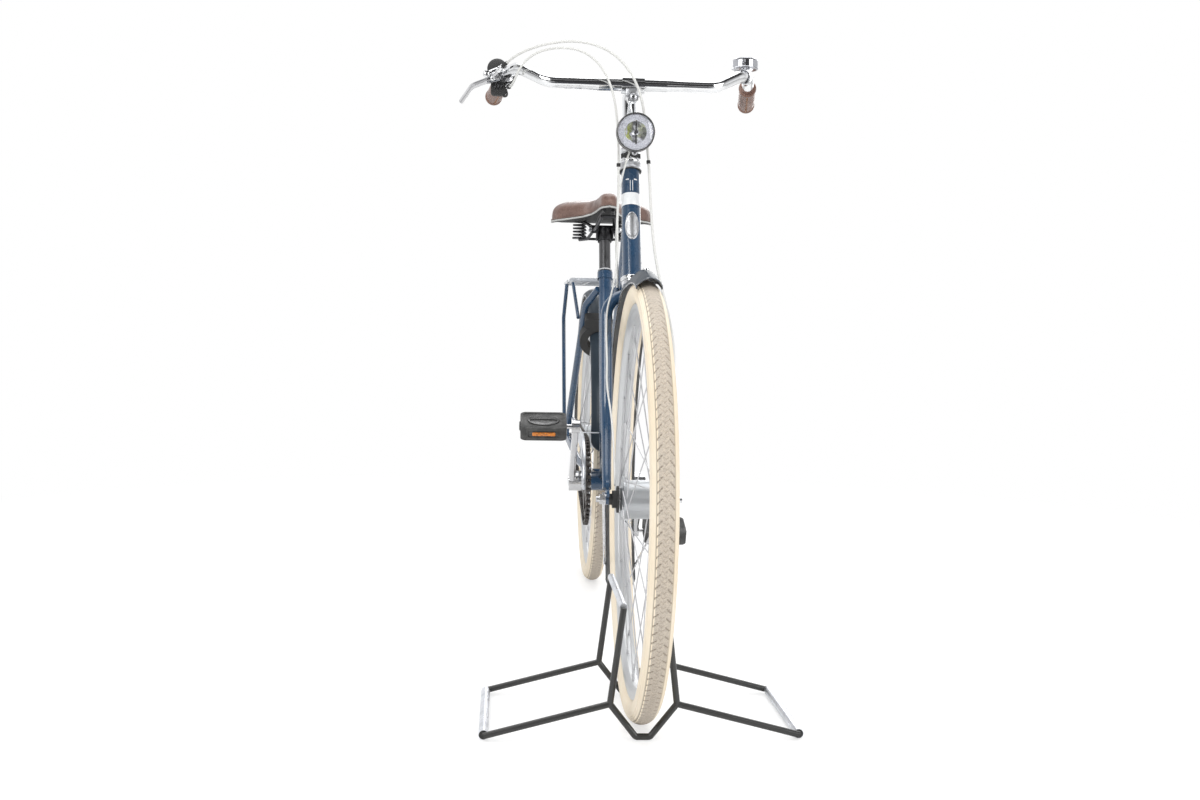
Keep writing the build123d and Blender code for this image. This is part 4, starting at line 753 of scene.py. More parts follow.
class BoltHead(Enum):
    """Outline of a bolt's head: (share of height, share of radius, 1 for a hexagon)."""

    SOCKET = ((0, 0), (0, 1), (0.82, 1), (1, 0.88), (1, 0.56, 1), (0.4, 0.52, 1), (0.36, 0))
    HEX = ((0, 0), (0, 1.3), (0.16, 1.3), (0.16, 1, 1), (0.84, 1, 1), (1, 0.84), (1, 0.5), (1.3, 0.42), (1.3, 0))
    DOME = ((0, 0), (0, 1), (0.3, 1), (0.62, 0.86), (0.86, 0.56), (0.97, 0.25), (1, 0))


def bolt(place: np.ndarray, axis: np.ndarray, radius: float, height: float, head: BoltHead = BoltHead.HEX) -> Grid:
    """A bolt's head on a face, its axis pointing out of the face."""
    profile = [(row[0] * height, row[1] * radius, *row[2:]) for row in head.value]
    return lathe(place, axis, profile, 24)


def slab(place: np.ndarray, wide: np.ndarray, tall: np.ndarray, thick: float, corner: float,
         edge: float = 0.4) -> Grid:
    """Plate with round corners and eased edges, centred on a place, from its width and height vectors."""
    width, height = float(np.linalg.norm(wide)), float(np.linalg.norm(tall))
    outline = rounded(width, height, corner, 5)
    share = np.array([0.0, 1 - 2 * edge / min(width, height), 1.0, 1.0, 1 - 2 * edge / min(width, height), 0.0])
    level = np.array([-0.5, -0.5, -0.5 + edge / thick, 0.5 - edge / thick, 0.5, 0.5]) * thick
    normal = np.cross(unit(wide), unit(tall))
    flat = outline[:, :1] * unit(wide) + outline[:, 1:] * unit(tall)
    return Grid(place + share[:, None, None] * flat[None] + level[:, None, None] * normal, wrap_v=True)


def route_line(points: np.ndarray, step: float = 4.0) -> np.ndarray:
    """Even places along the smooth spline that a cable's control points draw.

    Args:
        points: control points, in millimetres.
        step: distance between the places.

    Returns:
        The places, one row each.
    """
    curve = bpy.data.curves.new("route", "CURVE")
    curve.dimensions = "3D"
    curve.resolution_u = 16
    spline = curve.splines.new("NURBS")
    spline.points.add(len(points) - 1)
    spline.points.foreach_set("co", np.column_stack([points, np.ones(len(points))]).ravel())
    spline.order_u = 3
    spline.use_endpoint_u = True
    holder = bpy.data.objects.new("route", curve)
    mesh = bpy.data.meshes.new_from_object(holder)
    places = np.empty(len(mesh.vertices) * 3)
    mesh.vertices.foreach_get("co", places)
    bpy.data.objects.remove(holder)
    bpy.data.meshes.remove(mesh)
    bpy.data.curves.remove(curve)
    places = places.reshape(-1, 3)
    run = np.concatenate([[0.0], np.cumsum(np.linalg.norm(np.diff(places, axis=0), axis=1))])
    even = np.linspace(0, run[-1], max(int(run[-1] / step), 8))
    return np.stack([np.interp(even, run, places[:, k]) for k in range(3)], axis=-1)


def weld(branch: tuple[np.ndarray, np.ndarray, float], main: tuple[np.ndarray, np.ndarray, float],
         bead: float = 1.7) -> Grid:
    """Brazed bead where a round tube ends on another.

    A line on the branch's surface meets the other tube where its distance from that tube's axis equals the
    radius, which is a quadratic in the distance along the branch; the bead follows its nearer root.

    Args:
        branch: a place on the branch's axis inside the main tube, its way outwards and its radius.
        main: a place on the main tube's axis, its way and its radius.
        bead: radius of the bead.
    """
    start, way, radius = branch[0], unit(branch[1]), branch[2]
    centre, line, wall = main[0], unit(main[1]), main[2]
    first = unit(np.cross(way, line))
    second = np.cross(way, first)
    turn = np.linspace(0, 2 * np.pi, 120, endpoint=False)[:, None]
    rim = start + radius * (np.cos(turn) * first + np.sin(turn) * second)
    flat = way - np.dot(way, line) * line
    off = (rim - centre) - ((rim - centre) @ line)[:, None] * line
    a, b, c = flat @ flat, off @ flat, (off * off).sum(1) - wall**2
    out = (-b + np.sqrt(np.maximum(b * b - a * c, 0.0))) / a
    ripple = 1 + 0.10 * np.sin(np.linspace(0, 2 * np.pi * 24, 120, endpoint=False))
    return sweep(rim + out[:, None] * way, ring(bead, 8), ripple, way, closed=True)


# ------------------------------------------------------------------ wheels
@dataclass
class Tyre:
    """Balloon tyre with ribbed sides and a block tread, round a sideways axis."""

    name: str
    body: str
    node: str
    centre: np.ndarray
    steps: int = 1950
    pitches: int = 150
    tread_half_angle: float = math.radians(46)
    side_set_back: float = 0.0007
    groove: float = 0.0011
    radius: float = field(init=False)
    half_width: float = field(init=False)

    def __post_init__(self) -> None:
        """Reads the tyre's size from its CAD node."""
        low, high = corners(self.node)
        self.radius = float(high[2] - low[2]) / 2
        self.half_width = float(high[0] - low[0]) / 2

    def section(self) -> np.ndarray:
        """Angles round the casing, from one bead to the other, closer together under the tread."""
        foot = math.radians(139)
        ribs = np.radians([47.5, 51.0, 52.0, 55.0, 56.0, 60.5, 61.5, 65.0, 66.0])
        side = np.concatenate([ribs, np.linspace(math.radians(80), foot, 4)])
        middle = np.linspace(-self.tread_half_angle, self.tread_half_angle, 23)
        return np.concatenate([-side[::-1], middle, side])

    def relief(self, turn: np.ndarray, angle: np.ndarray) -> np.ndarray:
        """Height of the rubber over the casing: ribbed band with slanting slots; the sides are set back."""
        off = np.abs(angle)
        phase = turn * self.pitches / (2 * np.pi)
        slant = phase + np.sign(angle) * 0.25 + off * 1.5
        slot = (np.mod(slant, 1.0) < 0.17) & (off > 0.22) & (off < 0.62)
        sipe = (np.mod(phase * 2 - off * 2.2, 1.0) < 0.16) & (off < 0.17)
        ring = (np.abs(off - 0.195) < 0.02) | (np.abs(off - 0.66) < 0.025)
        height = np.where(slot, -self.groove, 0.0) + np.where(sipe, -0.6 * self.groove, 0.0)
        height = np.where(ring, -self.groove, height)
        rib = ((off > math.radians(51.5)) & (off < math.radians(55.5))) | ((off > math.radians(61)) & (off < math.radians(65.5)))
        return np.where(off > self.tread_half_angle, np.where(rib, 0.0, -self.side_set_back), height)

    def build(self) -> bpy.types.Object:
        """A circle section swept round the axle, its radius changed by the relief."""
        turn = np.linspace(0, 2 * np.pi, self.steps, endpoint=False)[:, None]
        angle = self.section()[None, :]
        swell = self.half_width + self.relief(turn, angle)
        out = self.radius - self.half_width + swell * np.cos(angle)
        x = np.broadcast_to(swell * np.sin(angle), out.shape)
        points = np.stack([x, out * np.sin(turn), out * np.cos(turn)], axis=-1) + self.centre
        grid = Grid(mm(points.reshape(-1, 3)).reshape(points.shape), wrap_u=True, wrap_v=True)
        thing = piece(self.name, grid, sharp=math.pi, merge=False)
        # The groove depth share goes to the finish, which uses it to paint shade in the grooves.
        groove_shade_mask = thing.data.attributes.new("groove", "FLOAT", "POINT")
        painted_shade_share = np.clip(-self.relief(turn, angle) / self.groove, 0, 1) * (np.abs(angle) < self.tread_half_angle)
        groove_shade_mask.data.foreach_set("value", painted_shade_share.astype(np.float32).ravel())
        return dressed(thing, Finishes.TYRE, self.body, "tyre_cream", self.node)


# ------------------------------------------------------------------ mudguards
@dataclass
class Mudguard:
    """Rolled sheet mudguard: a crowned strip with straight lips, round ends and a wire rolled into its edge."""

    name: str
    node: str
    centre: np.ndarray
    ahead: float
    behind: float
    half: float = 27.0
    crown: float = 12.0
    lip: float = 5.0
    sheet: float = 1.2
    end_length: float = 24.0
    bead: float = 1.3
    rise: float = 0.0
    taper: float = 0.0
    radius: float = field(init=False)

    def __post_init__(self) -> None:
        """Reads the outside radius from the CAD node."""
        self.radius = float(box_mm(self.node)[1][2] - self.centre[2])

    def half_section(self, inset: float) -> np.ndarray:
        """Lip and crown from one lip to the other as (across, height above the wheel's axis)."""
        bow = (self.half**2 + self.crown**2) / (2 * self.crown)
        reach = math.asin(self.half / bow)
        turn = np.linspace(-reach, reach, 19)
        arc = np.stack([(bow - inset) * np.sin(turn), self.radius - bow + (bow - inset) * np.cos(turn)], axis=-1)
        edge = self.half - inset
        low = self.radius - self.crown - self.lip
        drop = np.linspace(low, arc[0, 1], 4)[:-1]
        left = np.stack([np.full(3, -edge), drop], axis=-1)
        right = np.stack([np.full(3, edge), drop[::-1]], axis=-1)
        return np.concatenate([left, arc, right])

    def at(self, section: np.ndarray, share: np.ndarray) -> np.ndarray:
        """Places of a section at shares of the guard's length.

        The turn behind the top runs from the front end to the rear one; each end is set back across its
        width by the end's length times one less the square root of one less the squared share of width. The
        crown rises and the strip narrows smoothly, each by its own amount, towards the front end.
        """
        back = np.minimum(np.abs(section[:, 0]) / self.half, 1.0)
        set_back = self.end_length * (1 - np.sqrt(1 - back**2)) / self.radius
        first = -math.radians(self.ahead) + set_back
        last = math.radians(self.behind) - set_back
        turn = first[None] + share[:, None] * (last - first)[None]
        lifted = np.clip((math.radians(20) - turn) / math.radians(22), 0, 1)
        high = section[:, 1] + self.rise * np.cos(back * math.pi / 2)[None] * lifted**2 * (3 - 2 * lifted)
        wide = section[:, 0] * (1 - self.taper * lifted**2 * (3 - 2 * lifted))
        return self.centre + np.stack([wide, high * np.sin(turn),
                                       high * np.cos(turn)], axis=-1)

    def build(self) -> None:
        """The shell, outside first and inside after it round one loop, with its edges and its wire."""
        share = np.linspace(0, 1, int((self.ahead + self.behind) * 1.0))
        outer, inner = self.at(self.half_section(0.0), share), self.at(self.half_section(self.sheet), share)
        loop = np.concatenate([outer, inner[:, ::-1]], axis=1)
        shell = Grid(loop[::-1], wrap_v=True)
        ends = [Grid(np.stack([inner[0], outer[0]])), Grid(np.stack([outer[-1], inner[-1]]))]
        dressed(piece(self.name, shell, *ends, sharp=0.9), Finishes.GUARD_ENAMEL, self.body(), "mudguard_paint",
                self.node)
        middle = self.at(self.half_section(self.sheet / 2), share)
        edge = np.concatenate([middle[:, 0], middle[-1, 1:-1], middle[::-1, -1], middle[0, -2:0:-1]])
        wire = sweep(edge, ring(self.bead, 8), 1.0, edge - self.centre - (edge - self.centre)[:, :1] * SIDE, closed=True)
        tip = self.at(self.half_section(0.0), np.array([(self.ahead - 5.0) / (self.ahead + self.behind)]))[0, 12]
        out = unit(tip - self.centre)
        dressed(piece(self.name + "_edge", wire), Finishes.GUARD_EDGE, self.body(), "mudguard_paint")
        if self.node == "front_mudguard":
            dressed(piece("front_mudguard_bolt", bolt(tip, out, 5.4, 4.2, BoltHead.DOME)), Finishes.CHROME,
                    self.body(), "chrome")

    def body(self) -> str:
        """Body that carries the guard."""
        return "front_assembly" if self.node.startswith("front") else "frame"


# ------------------------------------------------------------------ saddle and grips
def swell(thing: bpy.types.Object, held: Callable[[np.ndarray], np.ndarray], voxel: float = 0.004, pressure: float = 4.0,
          limit: float = 0.004) -> None:
    """Fills a padded shape by cloth simulation, then keeps the result in the mesh.

    Args:
        thing: closed mesh, slightly smaller than the finished pad.
        held: says for places in metres, one row each, which the pad's frame holds still.
        voxel: size of the even mesh that the simulation runs on.
        pressure: pressure inside.
        limit: furthest that a point may move, in metres.
    """
    even = thing.modifiers.new("even", "REMESH")
    even.mode, even.voxel_size, even.use_smooth_shade = "VOXEL", voxel, True
    graph = bpy.context.evaluated_depsgraph_get()
    mesh = bpy.data.meshes.new_from_object(thing.evaluated_get(graph))
    thing.modifiers.clear()
    old, thing.data = thing.data, mesh
    bpy.data.meshes.remove(old)
    rest = np.empty(len(mesh.vertices) * 3)
    mesh.vertices.foreach_get("co", rest)
    rest = rest.reshape(-1, 3)
    group = thing.vertex_groups.new(name="held")
    group.add(np.flatnonzero(held(rest)).tolist(), 1.0, "REPLACE")
    cloth = thing.modifiers.new("cloth", "CLOTH")
    cloth.settings.effector_weights.gravity = 0.0
    cloth.settings.use_pressure = True
    cloth.settings.uniform_pressure_force = pressure
    cloth.settings.tension_stiffness = cloth.settings.compression_stiffness = 40.0
    cloth.settings.bending_stiffness = 6.0
    cloth.settings.vertex_group_mass = group.name
    for number in range(1, 21):
        bpy.context.scene.frame_set(number)
    graph = bpy.context.evaluated_depsgraph_get()
    filled = bpy.data.meshes.new_from_object(thing.evaluated_get(graph))
    moved = np.empty_like(rest.ravel())
    filled.vertices.foreach_get("co", moved)
    move = moved.reshape(-1, 3) - rest
    length = np.linalg.norm(move, axis=1, keepdims=True)
    mesh.vertices.foreach_set("co", (rest + move * np.minimum(1.0, limit / np.maximum(length, 1e-9))).ravel())
    thing.modifiers.clear()
    bpy.data.meshes.remove(filled)
    bpy.context.scene.frame_set(1)
    mesh.update()
    finer = thing.modifiers.new("finer", "SUBSURF")
    finer.levels = finer.render_levels = 1


@dataclass
class Saddle:
    """Sprung saddle: a leather top over padding, its pale rim strip, black pan, piping and rail clamp bolts."""

    nose_y: float = -134.0
    tail_y: float = 138.0
    skirt: float = 25.0
    clamp: np.ndarray = field(init=False)

    def __post_init__(self) -> None:
        """Finds the clamp on the post from the CAD cover's box."""
        low = box_mm("saddle_cover")[0]
        self.clamp = spot(0.0, low[1] + 135.0, low[2] - 24.0)

    def half_width(self, y: np.ndarray) -> np.ndarray:
        """Half width at stations along the saddle: a narrow nose that opens smoothly into the wings."""
        stations = [-134, -128, -116, -95, -60, -20, 15, 45, 70, 92, 112, 126, 134, 138]
        widths = [0, 12, 19, 21.5, 24, 31, 48, 78, 104, 116, 115, 100, 68, 0]
        fine = np.interp(np.linspace(-134, 138, 400), stations, widths)
        kernel = np.hanning(25) / np.hanning(25).sum()
        smooth = np.convolve(np.pad(fine, 12, mode="reflect", reflect_type="odd"), kernel, mode="valid")
        ends = np.sqrt(np.clip(np.minimum(y - self.nose_y, self.tail_y - y) / 9.0, 0, 1))
        return np.interp(y, np.linspace(-134, 138, 400), smooth) * np.where(ends < 1, 0.35 + 0.65 * ends, 1.0) * (ends > 0)

    def top(self, y: np.ndarray) -> np.ndarray:
        """Height of the middle line: a rounded nose, a slight dip, then a rise to the wings."""
        return np.interp(y, [-134, -126, -112, -80, -30, 20, 60, 100, 125, 138],
                         [55, 64.5, 70.5, 71.5, 68, 65.5, 68, 72.5, 69.5, 52])

    def stations(self, count: int = 90) -> np.ndarray:
        """Places along the saddle, closer together near its ends."""
        return self.nose_y + (self.tail_y - self.nose_y) * (1 - np.cos(np.linspace(0, np.pi, count))) / 2

    def skirt_line(self, y: np.ndarray) -> np.ndarray:
        """Height of the lower edge: lowest under the wings, rising steadily to the nose."""
        return np.interp(y, [-134, -110, -60, 0, 60, 110, 138], [41, 37, 35, 31, 25, 22.5, 30])

    def dome(self, shrink: float) -> np.ndarray:
        """Cover points by station and angle across.

        Across: the half width times the cosine to a power; up: the lower edge plus the height to the middle
        line times the sine to a power; powers under 1 give the flat crown and the upright skirt.
        """
        y = self.stations()
        angle = np.linspace(0, np.pi, 41)[None]
        wide, high, low = (f(y)[:, None] for f in (self.half_width, self.top, self.skirt_line))
        wide = np.maximum(wide - shrink, 0.0)
        x = wide * np.sign(np.cos(angle)) * np.abs(np.cos(angle)) ** 0.6
        z = low + (high - shrink - low) * np.sin(angle) ** 0.5
        return np.stack([x, np.broadcast_to(y[:, None], x.shape), z], axis=-1) + self.clamp

    def lower(self, cover: np.ndarray, lift: float) -> np.ndarray:
        """Flat underside between the cover's two lower edges, from one edge to the other."""
        share = np.linspace(0, 1, 13)[1:-1, None]
        return np.stack([cover[:, -1] * (1 - s) + cover[:, 0] * s + lift * UP for s in share[:, 0]], axis=1)

    def edge_line(self, sink: float, out: float) -> np.ndarray:
        """Closed line round the cover's lower edge, moved down and outwards."""
        cover = self.dome(0.0)
        line = np.concatenate([cover[:, 0], cover[-1:, 20], cover[::-1, -1], cover[:1, 20]])
        line = line[np.concatenate([[True], np.linalg.norm(np.diff(line, axis=0), axis=1) > 0.4])]
        run = np.concatenate([[0.0], np.cumsum(np.linalg.norm(np.diff(line, axis=0), axis=1))])
        even = np.linspace(0, run[-1], 260, endpoint=False)
        line = np.stack([np.interp(even, run, line[:, k]) for k in range(3)], axis=-1)
        line[:, 2] = np.minimum(line[:, 2], self.clamp[2] + self.skirt_line(line[:, 1] - self.clamp[1]) + 0.4)
        away = unit((line - self.clamp - spot(0, 30, 0)) * spot(1, 0.35, 0))
        return line + away * out - UP * sink

    def build(self) -> None:
        """Cover, rim strip, pan, piping, rails and bolts."""
        cover = self.dome(0.6)
        closed = np.concatenate([cover, self.lower(cover, 2.0)], axis=1)
        pad = piece("saddle_leather", Grid(closed[::-1], wrap_v=True), sharp=math.pi)
        swell(pad, lambda at: mm(at)[:, 2] < self.clamp[2] + 6.0 + self.skirt_line(mm(at)[:, 1] - self.clamp[1]))
        dressed(pad, Finishes.SADDLE_LEATHER, "frame", "saddle_brown", "saddle_cover")
        rim = sweep(self.edge_line(1.2, 0.1), rounded(2.6, 3.9, 1.1), 1.0, UP, closed=True)
        dressed(piece("saddle_rim_strip", rim, sharp=math.pi), Finishes.RIM_STRIP, "frame", "saddle_brown")
        piping = sweep(self.edge_line(-2.9, 0.5), ring(1.1, 8), 1.0, UP, closed=True)
        dressed(piece("saddle_piping", piping, sharp=math.pi), Finishes.SADDLE_LEATHER, "frame", "saddle_brown")
        base = self.dome(5.0)
        base[..., 2] = np.minimum(base[..., 2], self.clamp[2] + 5.0 + self.skirt_line(base[..., 1] - self.clamp[1]))
        under = np.concatenate([base, self.lower(base, -1.5)], axis=1)
        pan = piece("saddle_pan", Grid(under[::-1], wrap_v=True))
        dressed(pan, Finishes.BLACK_PLASTIC, "frame", "black_plastic")
        cheeks = [slab(self.clamp + spot(s * 17.0, -4.0, -9.0), BACK * 22, UP * 34, 4.0, 8.0) for s in (-1, 1)]
        rails = [sweep(route_line(self.clamp + np.array([(s * 9.0, -112.0, 33.0), (s * 13.0, -70.0, 30.0),
                                                         (s * 19.0, -34.0, 12.0), (s * 19.0, -6.0, 4.0),
                                                         (s * 21.0, 24.0, 4.0), (s * 34.0, 62.0, 16.0),
                                                         (s * 46.0, 92.0, 24.0)])), ring(3.4, 10), 1.0, SIDE)
                 for s in (-1, 1)]
        dressed(piece("saddle_rails", *rails, *cheeks), Finishes.DARK_STEEL, "frame", "black_steel")
        ends = [bolt(self.clamp + spot(s * 30.0, 0, 0), spot(s, 0, 0), 6.5, 6.0) for s in (-1, 1)]
        dressed(piece("saddle_clamp_nuts", *ends), Finishes.PLATED_WIRE, "frame", "chrome")


@dataclass
class Grip:
    """Leather grip: a stitched tube with a raised ring at each end, a crown over the bar's end and a stud."""

    name: str
    node: str
    mirror: bool
    radius: float = 16.4
    hand_length: float = 106.0
    stitch: float = 5.0

    def build(self) -> None:
        """The wrapped tube and the row of stitches under it."""
        flip = MIRROR if self.mirror else spot(1, 1, 1)
        start = (GRIP_START + GRIP_WAY * 50.3) * flip
        end = (GRIP_END + GRIP_WAY * 4.7) * flip
        way, length = unit(end - start), float(np.linalg.norm(end - start))
        r = self.radius
        along = np.linspace(6.5, length - 7.5, 15)
        palm = [(a, r - 1.5 + 0.9 * math.sin(math.pi * (a - 6.5) / (length - 14)) ** 0.8) for a in along]
        profile = [(0, 11.4), (0, r - 0.9), (0.6, r), (4.6, r), (5.4, r - 0.7), *palm, (length - 6.6, r - 0.7),
                   (length - 5.8, r), (length - 2.6, r), (length - 0.9, r - 1.1), (length, r - 3.6),
                   (length + 0.2, 6.0), (length + 0.2, 0)]
        tube = lathe(start, way, [(0, 0)] + profile, 40)
        dressed(piece(self.name, tube, sharp=0.7), Finishes.GRIP_LEATHER, "front_assembly", "grip_brown", self.node)
        down = unit(np.cross(way, np.cross(-UP, way)))
        across = np.cross(way, down)
        places = np.arange(9.0, length - 9.0, self.stitch)
        stitches = [capsule(start + way * a + down * (r - 0.75) + across * s * 1.6,
                            start + way * (a + 3.0) + down * (r - 0.75) - across * s * 0.4, 0.45, 6)
                    for a in places for s in (-1, 1)]
        dressed(piece(self.name + "_stitches", *stitches), Finishes.THREAD, "front_assembly", "grip_brown")
        stud = bolt(end + way * 0.2, way, 6.0, 1.6, BoltHead.DOME)
        dressed(piece(self.name + "_stud", stud), Finishes.CHROME, "front_assembly", "chrome")


# ------------------------------------------------------------------ lamp
@dataclass
class Headlamp:
    """Front lamp: a hollow bowl, a patterned ring round a small mirror, a dark bar, a domed lens and a bracket."""

    radius: float = 33.0
    mirror_radius: float = 19.0
    place: np.ndarray = field(init=False)

    def __post_init__(self) -> None:
        """Finds the rim's centre from the CAD lens."""
        low, high = box_mm("headlight_lens")
        self.place = spot((low[0] + high[0]) / 2, low[1] + 3.0, (low[2] + high[2]) / 2)

    def turned(self, name: str, finish: "Finishes", slot: str, profile: list[tuple[float, float]],
               *replaced: str) -> None:
        """One piece turned about the lamp's axis; the profile runs back from the rim."""
        dressed(piece(name, lathe(self.place, BACK, profile, 64)), finish, "front_assembly", slot, *replaced)

    def build(self) -> None:
        """Shell, optics, lens and bracket."""
        r, m = self.radius, self.mirror_radius
        back = [(12 + 38 * s, 12 + 21 * math.cos(s * math.pi / 2) ** 0.8) for s in np.linspace(0.0, 1.0, 12)]
        self.turned("headlight_bowl", Finishes.LAMP_SHELL, "lamp_shell",
                    [(30, 0), (30, m), (8, r - 1.6), (-1.4, r - 1.9), (-2.0, r - 1.2), (-1.6, r - 0.3), (0, r), (10, r),
                     (10.6, r + 0.5), (12, r + 0.5), *back, (50, 9), (53, 8), (53, 0)], "headlight")
        self.turned("headlight_ring", Finishes.LAMP_RING, "lamp_lens",
                    [(4.6, m - 0.4), (3.6, m), (2.9, r - 2.6), (3.6, r - 2.0), (5.4, r - 2.2), (5.4, m - 0.4)])
        cup = [(6 + 18 * (1 - (k / 10) ** 2), m * k / 10) for k in range(11)]
        self.turned("headlight_mirror", Finishes.LAMP_MIRROR, "chrome", cup + [(7.0, m + 0.6), (25, m + 0.6), (26, 0)])
        dome = [(-3.0 + 4.2 * (k / 10) ** 2, (r - 2.7) * k / 10) for k in range(11)]
        self.turned("headlight_glass", Finishes.LENS, "lamp_lens",
                    dome + [(2.3, r - 2.7)] + [(v + 1.1, w) for v, w in dome[::-1]], "headlight_lens")
        bar = sweep(np.array([self.place + spot(0.6, 4.0, z) for z in np.linspace(-m - 1, m + 1, 9)]),
                    rounded(3.0, 2.2, 0.6), 1.0, SIDE)
        foot = sweep(np.array([self.place + spot(0.6, 3.2 + 3.4 * s, 0) for s in np.linspace(0, 1, 4)]), ring(3.4, 16), 1.0)
        dressed(piece("headlight_bar", bar, foot), Finishes.BLACK_PLASTIC, "front_assembly", "lamp_shell")
        neck = steer(646.5, 0, 15.0)
        arm_path = route_line(np.array([self.place + spot(0, 18, -26), self.place + spot(0, 30, -30),
                                        self.place + spot(0, 47, -22), neck + spot(0, -10, 4), neck]), 3.0)
        arm = sweep(arm_path, rounded(11.0, 3.2, 1.2), 1.0, SIDE)
        band = lathe(steer(641.8), STEER_UP, [(0, 13.2), (0, 17), (0.8, 17.5), (8.6, 17.5), (9.4, 17), (9.4, 13.2), (0, 13.2)])
        under = self.place + spot(0, 18, -31)
        screws = [bolt(under + spot(0, 0, -1), -UP, 4.4, 4.2), bolt(steer(646.5, 0, 24.0), SIDE, 3.4, 6.0, BoltHead.DOME),
                  bolt(steer(646.5, -7.0, 24.0), -SIDE, 3.4, 3.0)]
        lug = [slab(steer(646.5, s * 2.6, 21.0), STEER_AHEAD * 14, STEER_UP * 9, 2.0, 2.5) for s in (-1, 1)]
        dressed(piece("headlight_bracket", arm, band, *lug, *screws), Finishes.PLATED_WIRE, "front_assembly", "chrome")


# ------------------------------------------------------------------ cables
@dataclass
class Cables:
    """Brake and gear cables in grey housing with dark ferrules, on smooth routes from the bar to their ends."""

    radius: float = 2.25

    def tube(self, line: np.ndarray, radius: float | None = None) -> Grid:
        """Housing round a route."""
        return sweep(line, ring(radius or self.radius, 14), 1.0, BACK)

    def clip(self, line: np.ndarray, height: float) -> Grid:
        """Short band round a route where it comes down past a height."""
        at = int(np.argmin(np.abs(line[len(line) // 3:, 2] - height))) + len(line) // 3
        way = unit(line[at + 1] - line[at - 1])
        r = self.radius
        return lathe(line[at] - way * 3, way, [(0, r - 0.2), (0, r + 0.9), (0.6, r + 1.3), (5.4, r + 1.3), (6, r + 0.9),
                                               (6, r - 0.2)], 16)

    def sleeves(self, line: np.ndarray, *shares: float) -> list[Grid]:
        """Ferrules and joints round a route at shares of its length."""
        made = []
        for share in shares:
            at = int(share * (len(line) - 1))
            at = min(max(at, 1), len(line) - 2)
            way = unit(line[at + 1] - line[at - 1])
            made.append(lathe(line[at] - way * 7, way, [(0, 2.6), (0, 3.2), (0.8, 3.5), (10, 3.5), (11, 3.2), (14, 3.0),
                                                        (14, 2.6)], 16))
        return made

    def build(self) -> None:
        """Both cables with their sleeves, and the ties that hold them."""
        lever_nose = GRIP_START * MIRROR + GRIP_WAY * MIRROR * 15 + spot(-6, -44, 6)
        run = unit(spot(22, -38, 15))
        pin = FRONT + unit(spot(0, 0.52, 0.854)) * 120
        brake = np.array([lever_nose + run * 0.2, lever_nose + run * 30, (-188, 260, 1107), (-150, 240, 1115.5),
                          (-108, 224, 1118), (-66, 212, 1110), (-30, 206, 1089), (-2, 207, 1056), (14, 213, 1016),
                          (21, 220, 974), (26, 222, 930), (29.5, 216, 882), (31.5, 205, 832), (34.5, 191.5, 782),
                          (40, 174, 732), (50, 151, 682), (62, 132, 630), (67, 116, 580), (64, 99, 534),
                          (54, 82, 494), pin + spot(44, 1.8, 5.2)])
        line = route_line(brake)
        dressed(piece("brake_cable", self.tube(line)), Finishes.CABLE_GREY, "front_assembly", "cable_grey",
                "front_brake_cable")
        dressed(piece("brake_cable_sleeves", *self.sleeves(line, 0.012, 0.985), self.clip(line, 912.0)), Finishes.LEAD_BLACK,
                "front_assembly", "lead_black")
        spout = GRIP_START * MIRROR + GRIP_WAY * MIRROR * 30 + spot(8, -40, -24)
        run = unit(spot(5, -40, -8.5))
        stop = spot(-20.5, self.down_tube(66.0)[1], self.down_tube(66.0)[2])
        shift = np.array([spout + run * 0.2, spout + run * 26, (-208, 276, 1057), (-198, 261, 1078), (-180, 253, 1096),
                          (-155, 246, 1106), (-124, 238, 1109), (-92, 230, 1103), (-66, 225, 1085), (-46, 222, 1056),
                          (-34, 221, 1020), (-28, 222, 978), (-25.5, 224, 934), (-24, 226.5, 888), (-24, 229, 842),
                          (-24.8, 232, 800), (-25.5, 236, 758), stop + spot(0, -17, 17), stop + spot(0, -0.15, 0.15)])
        line = route_line(shift)
        cable = dressed(piece("gear_cable", self.tube(line, 2.0)), Finishes.CABLE_GREY, None, "cable_grey", "shift_cable")
        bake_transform(cable)
        dressed(piece("gear_cable_sleeves", *self.sleeves(line, 0.012), self.clip(line, 906.0)), Finishes.LEAD_BLACK,
                "front_assembly", "lead_black")

    def down_tube(self, at: float) -> np.ndarray:
        """A place along the down tube from its top on the head tube."""
        start = steer(438.0)
        return start + unit(CRANK - start) * at


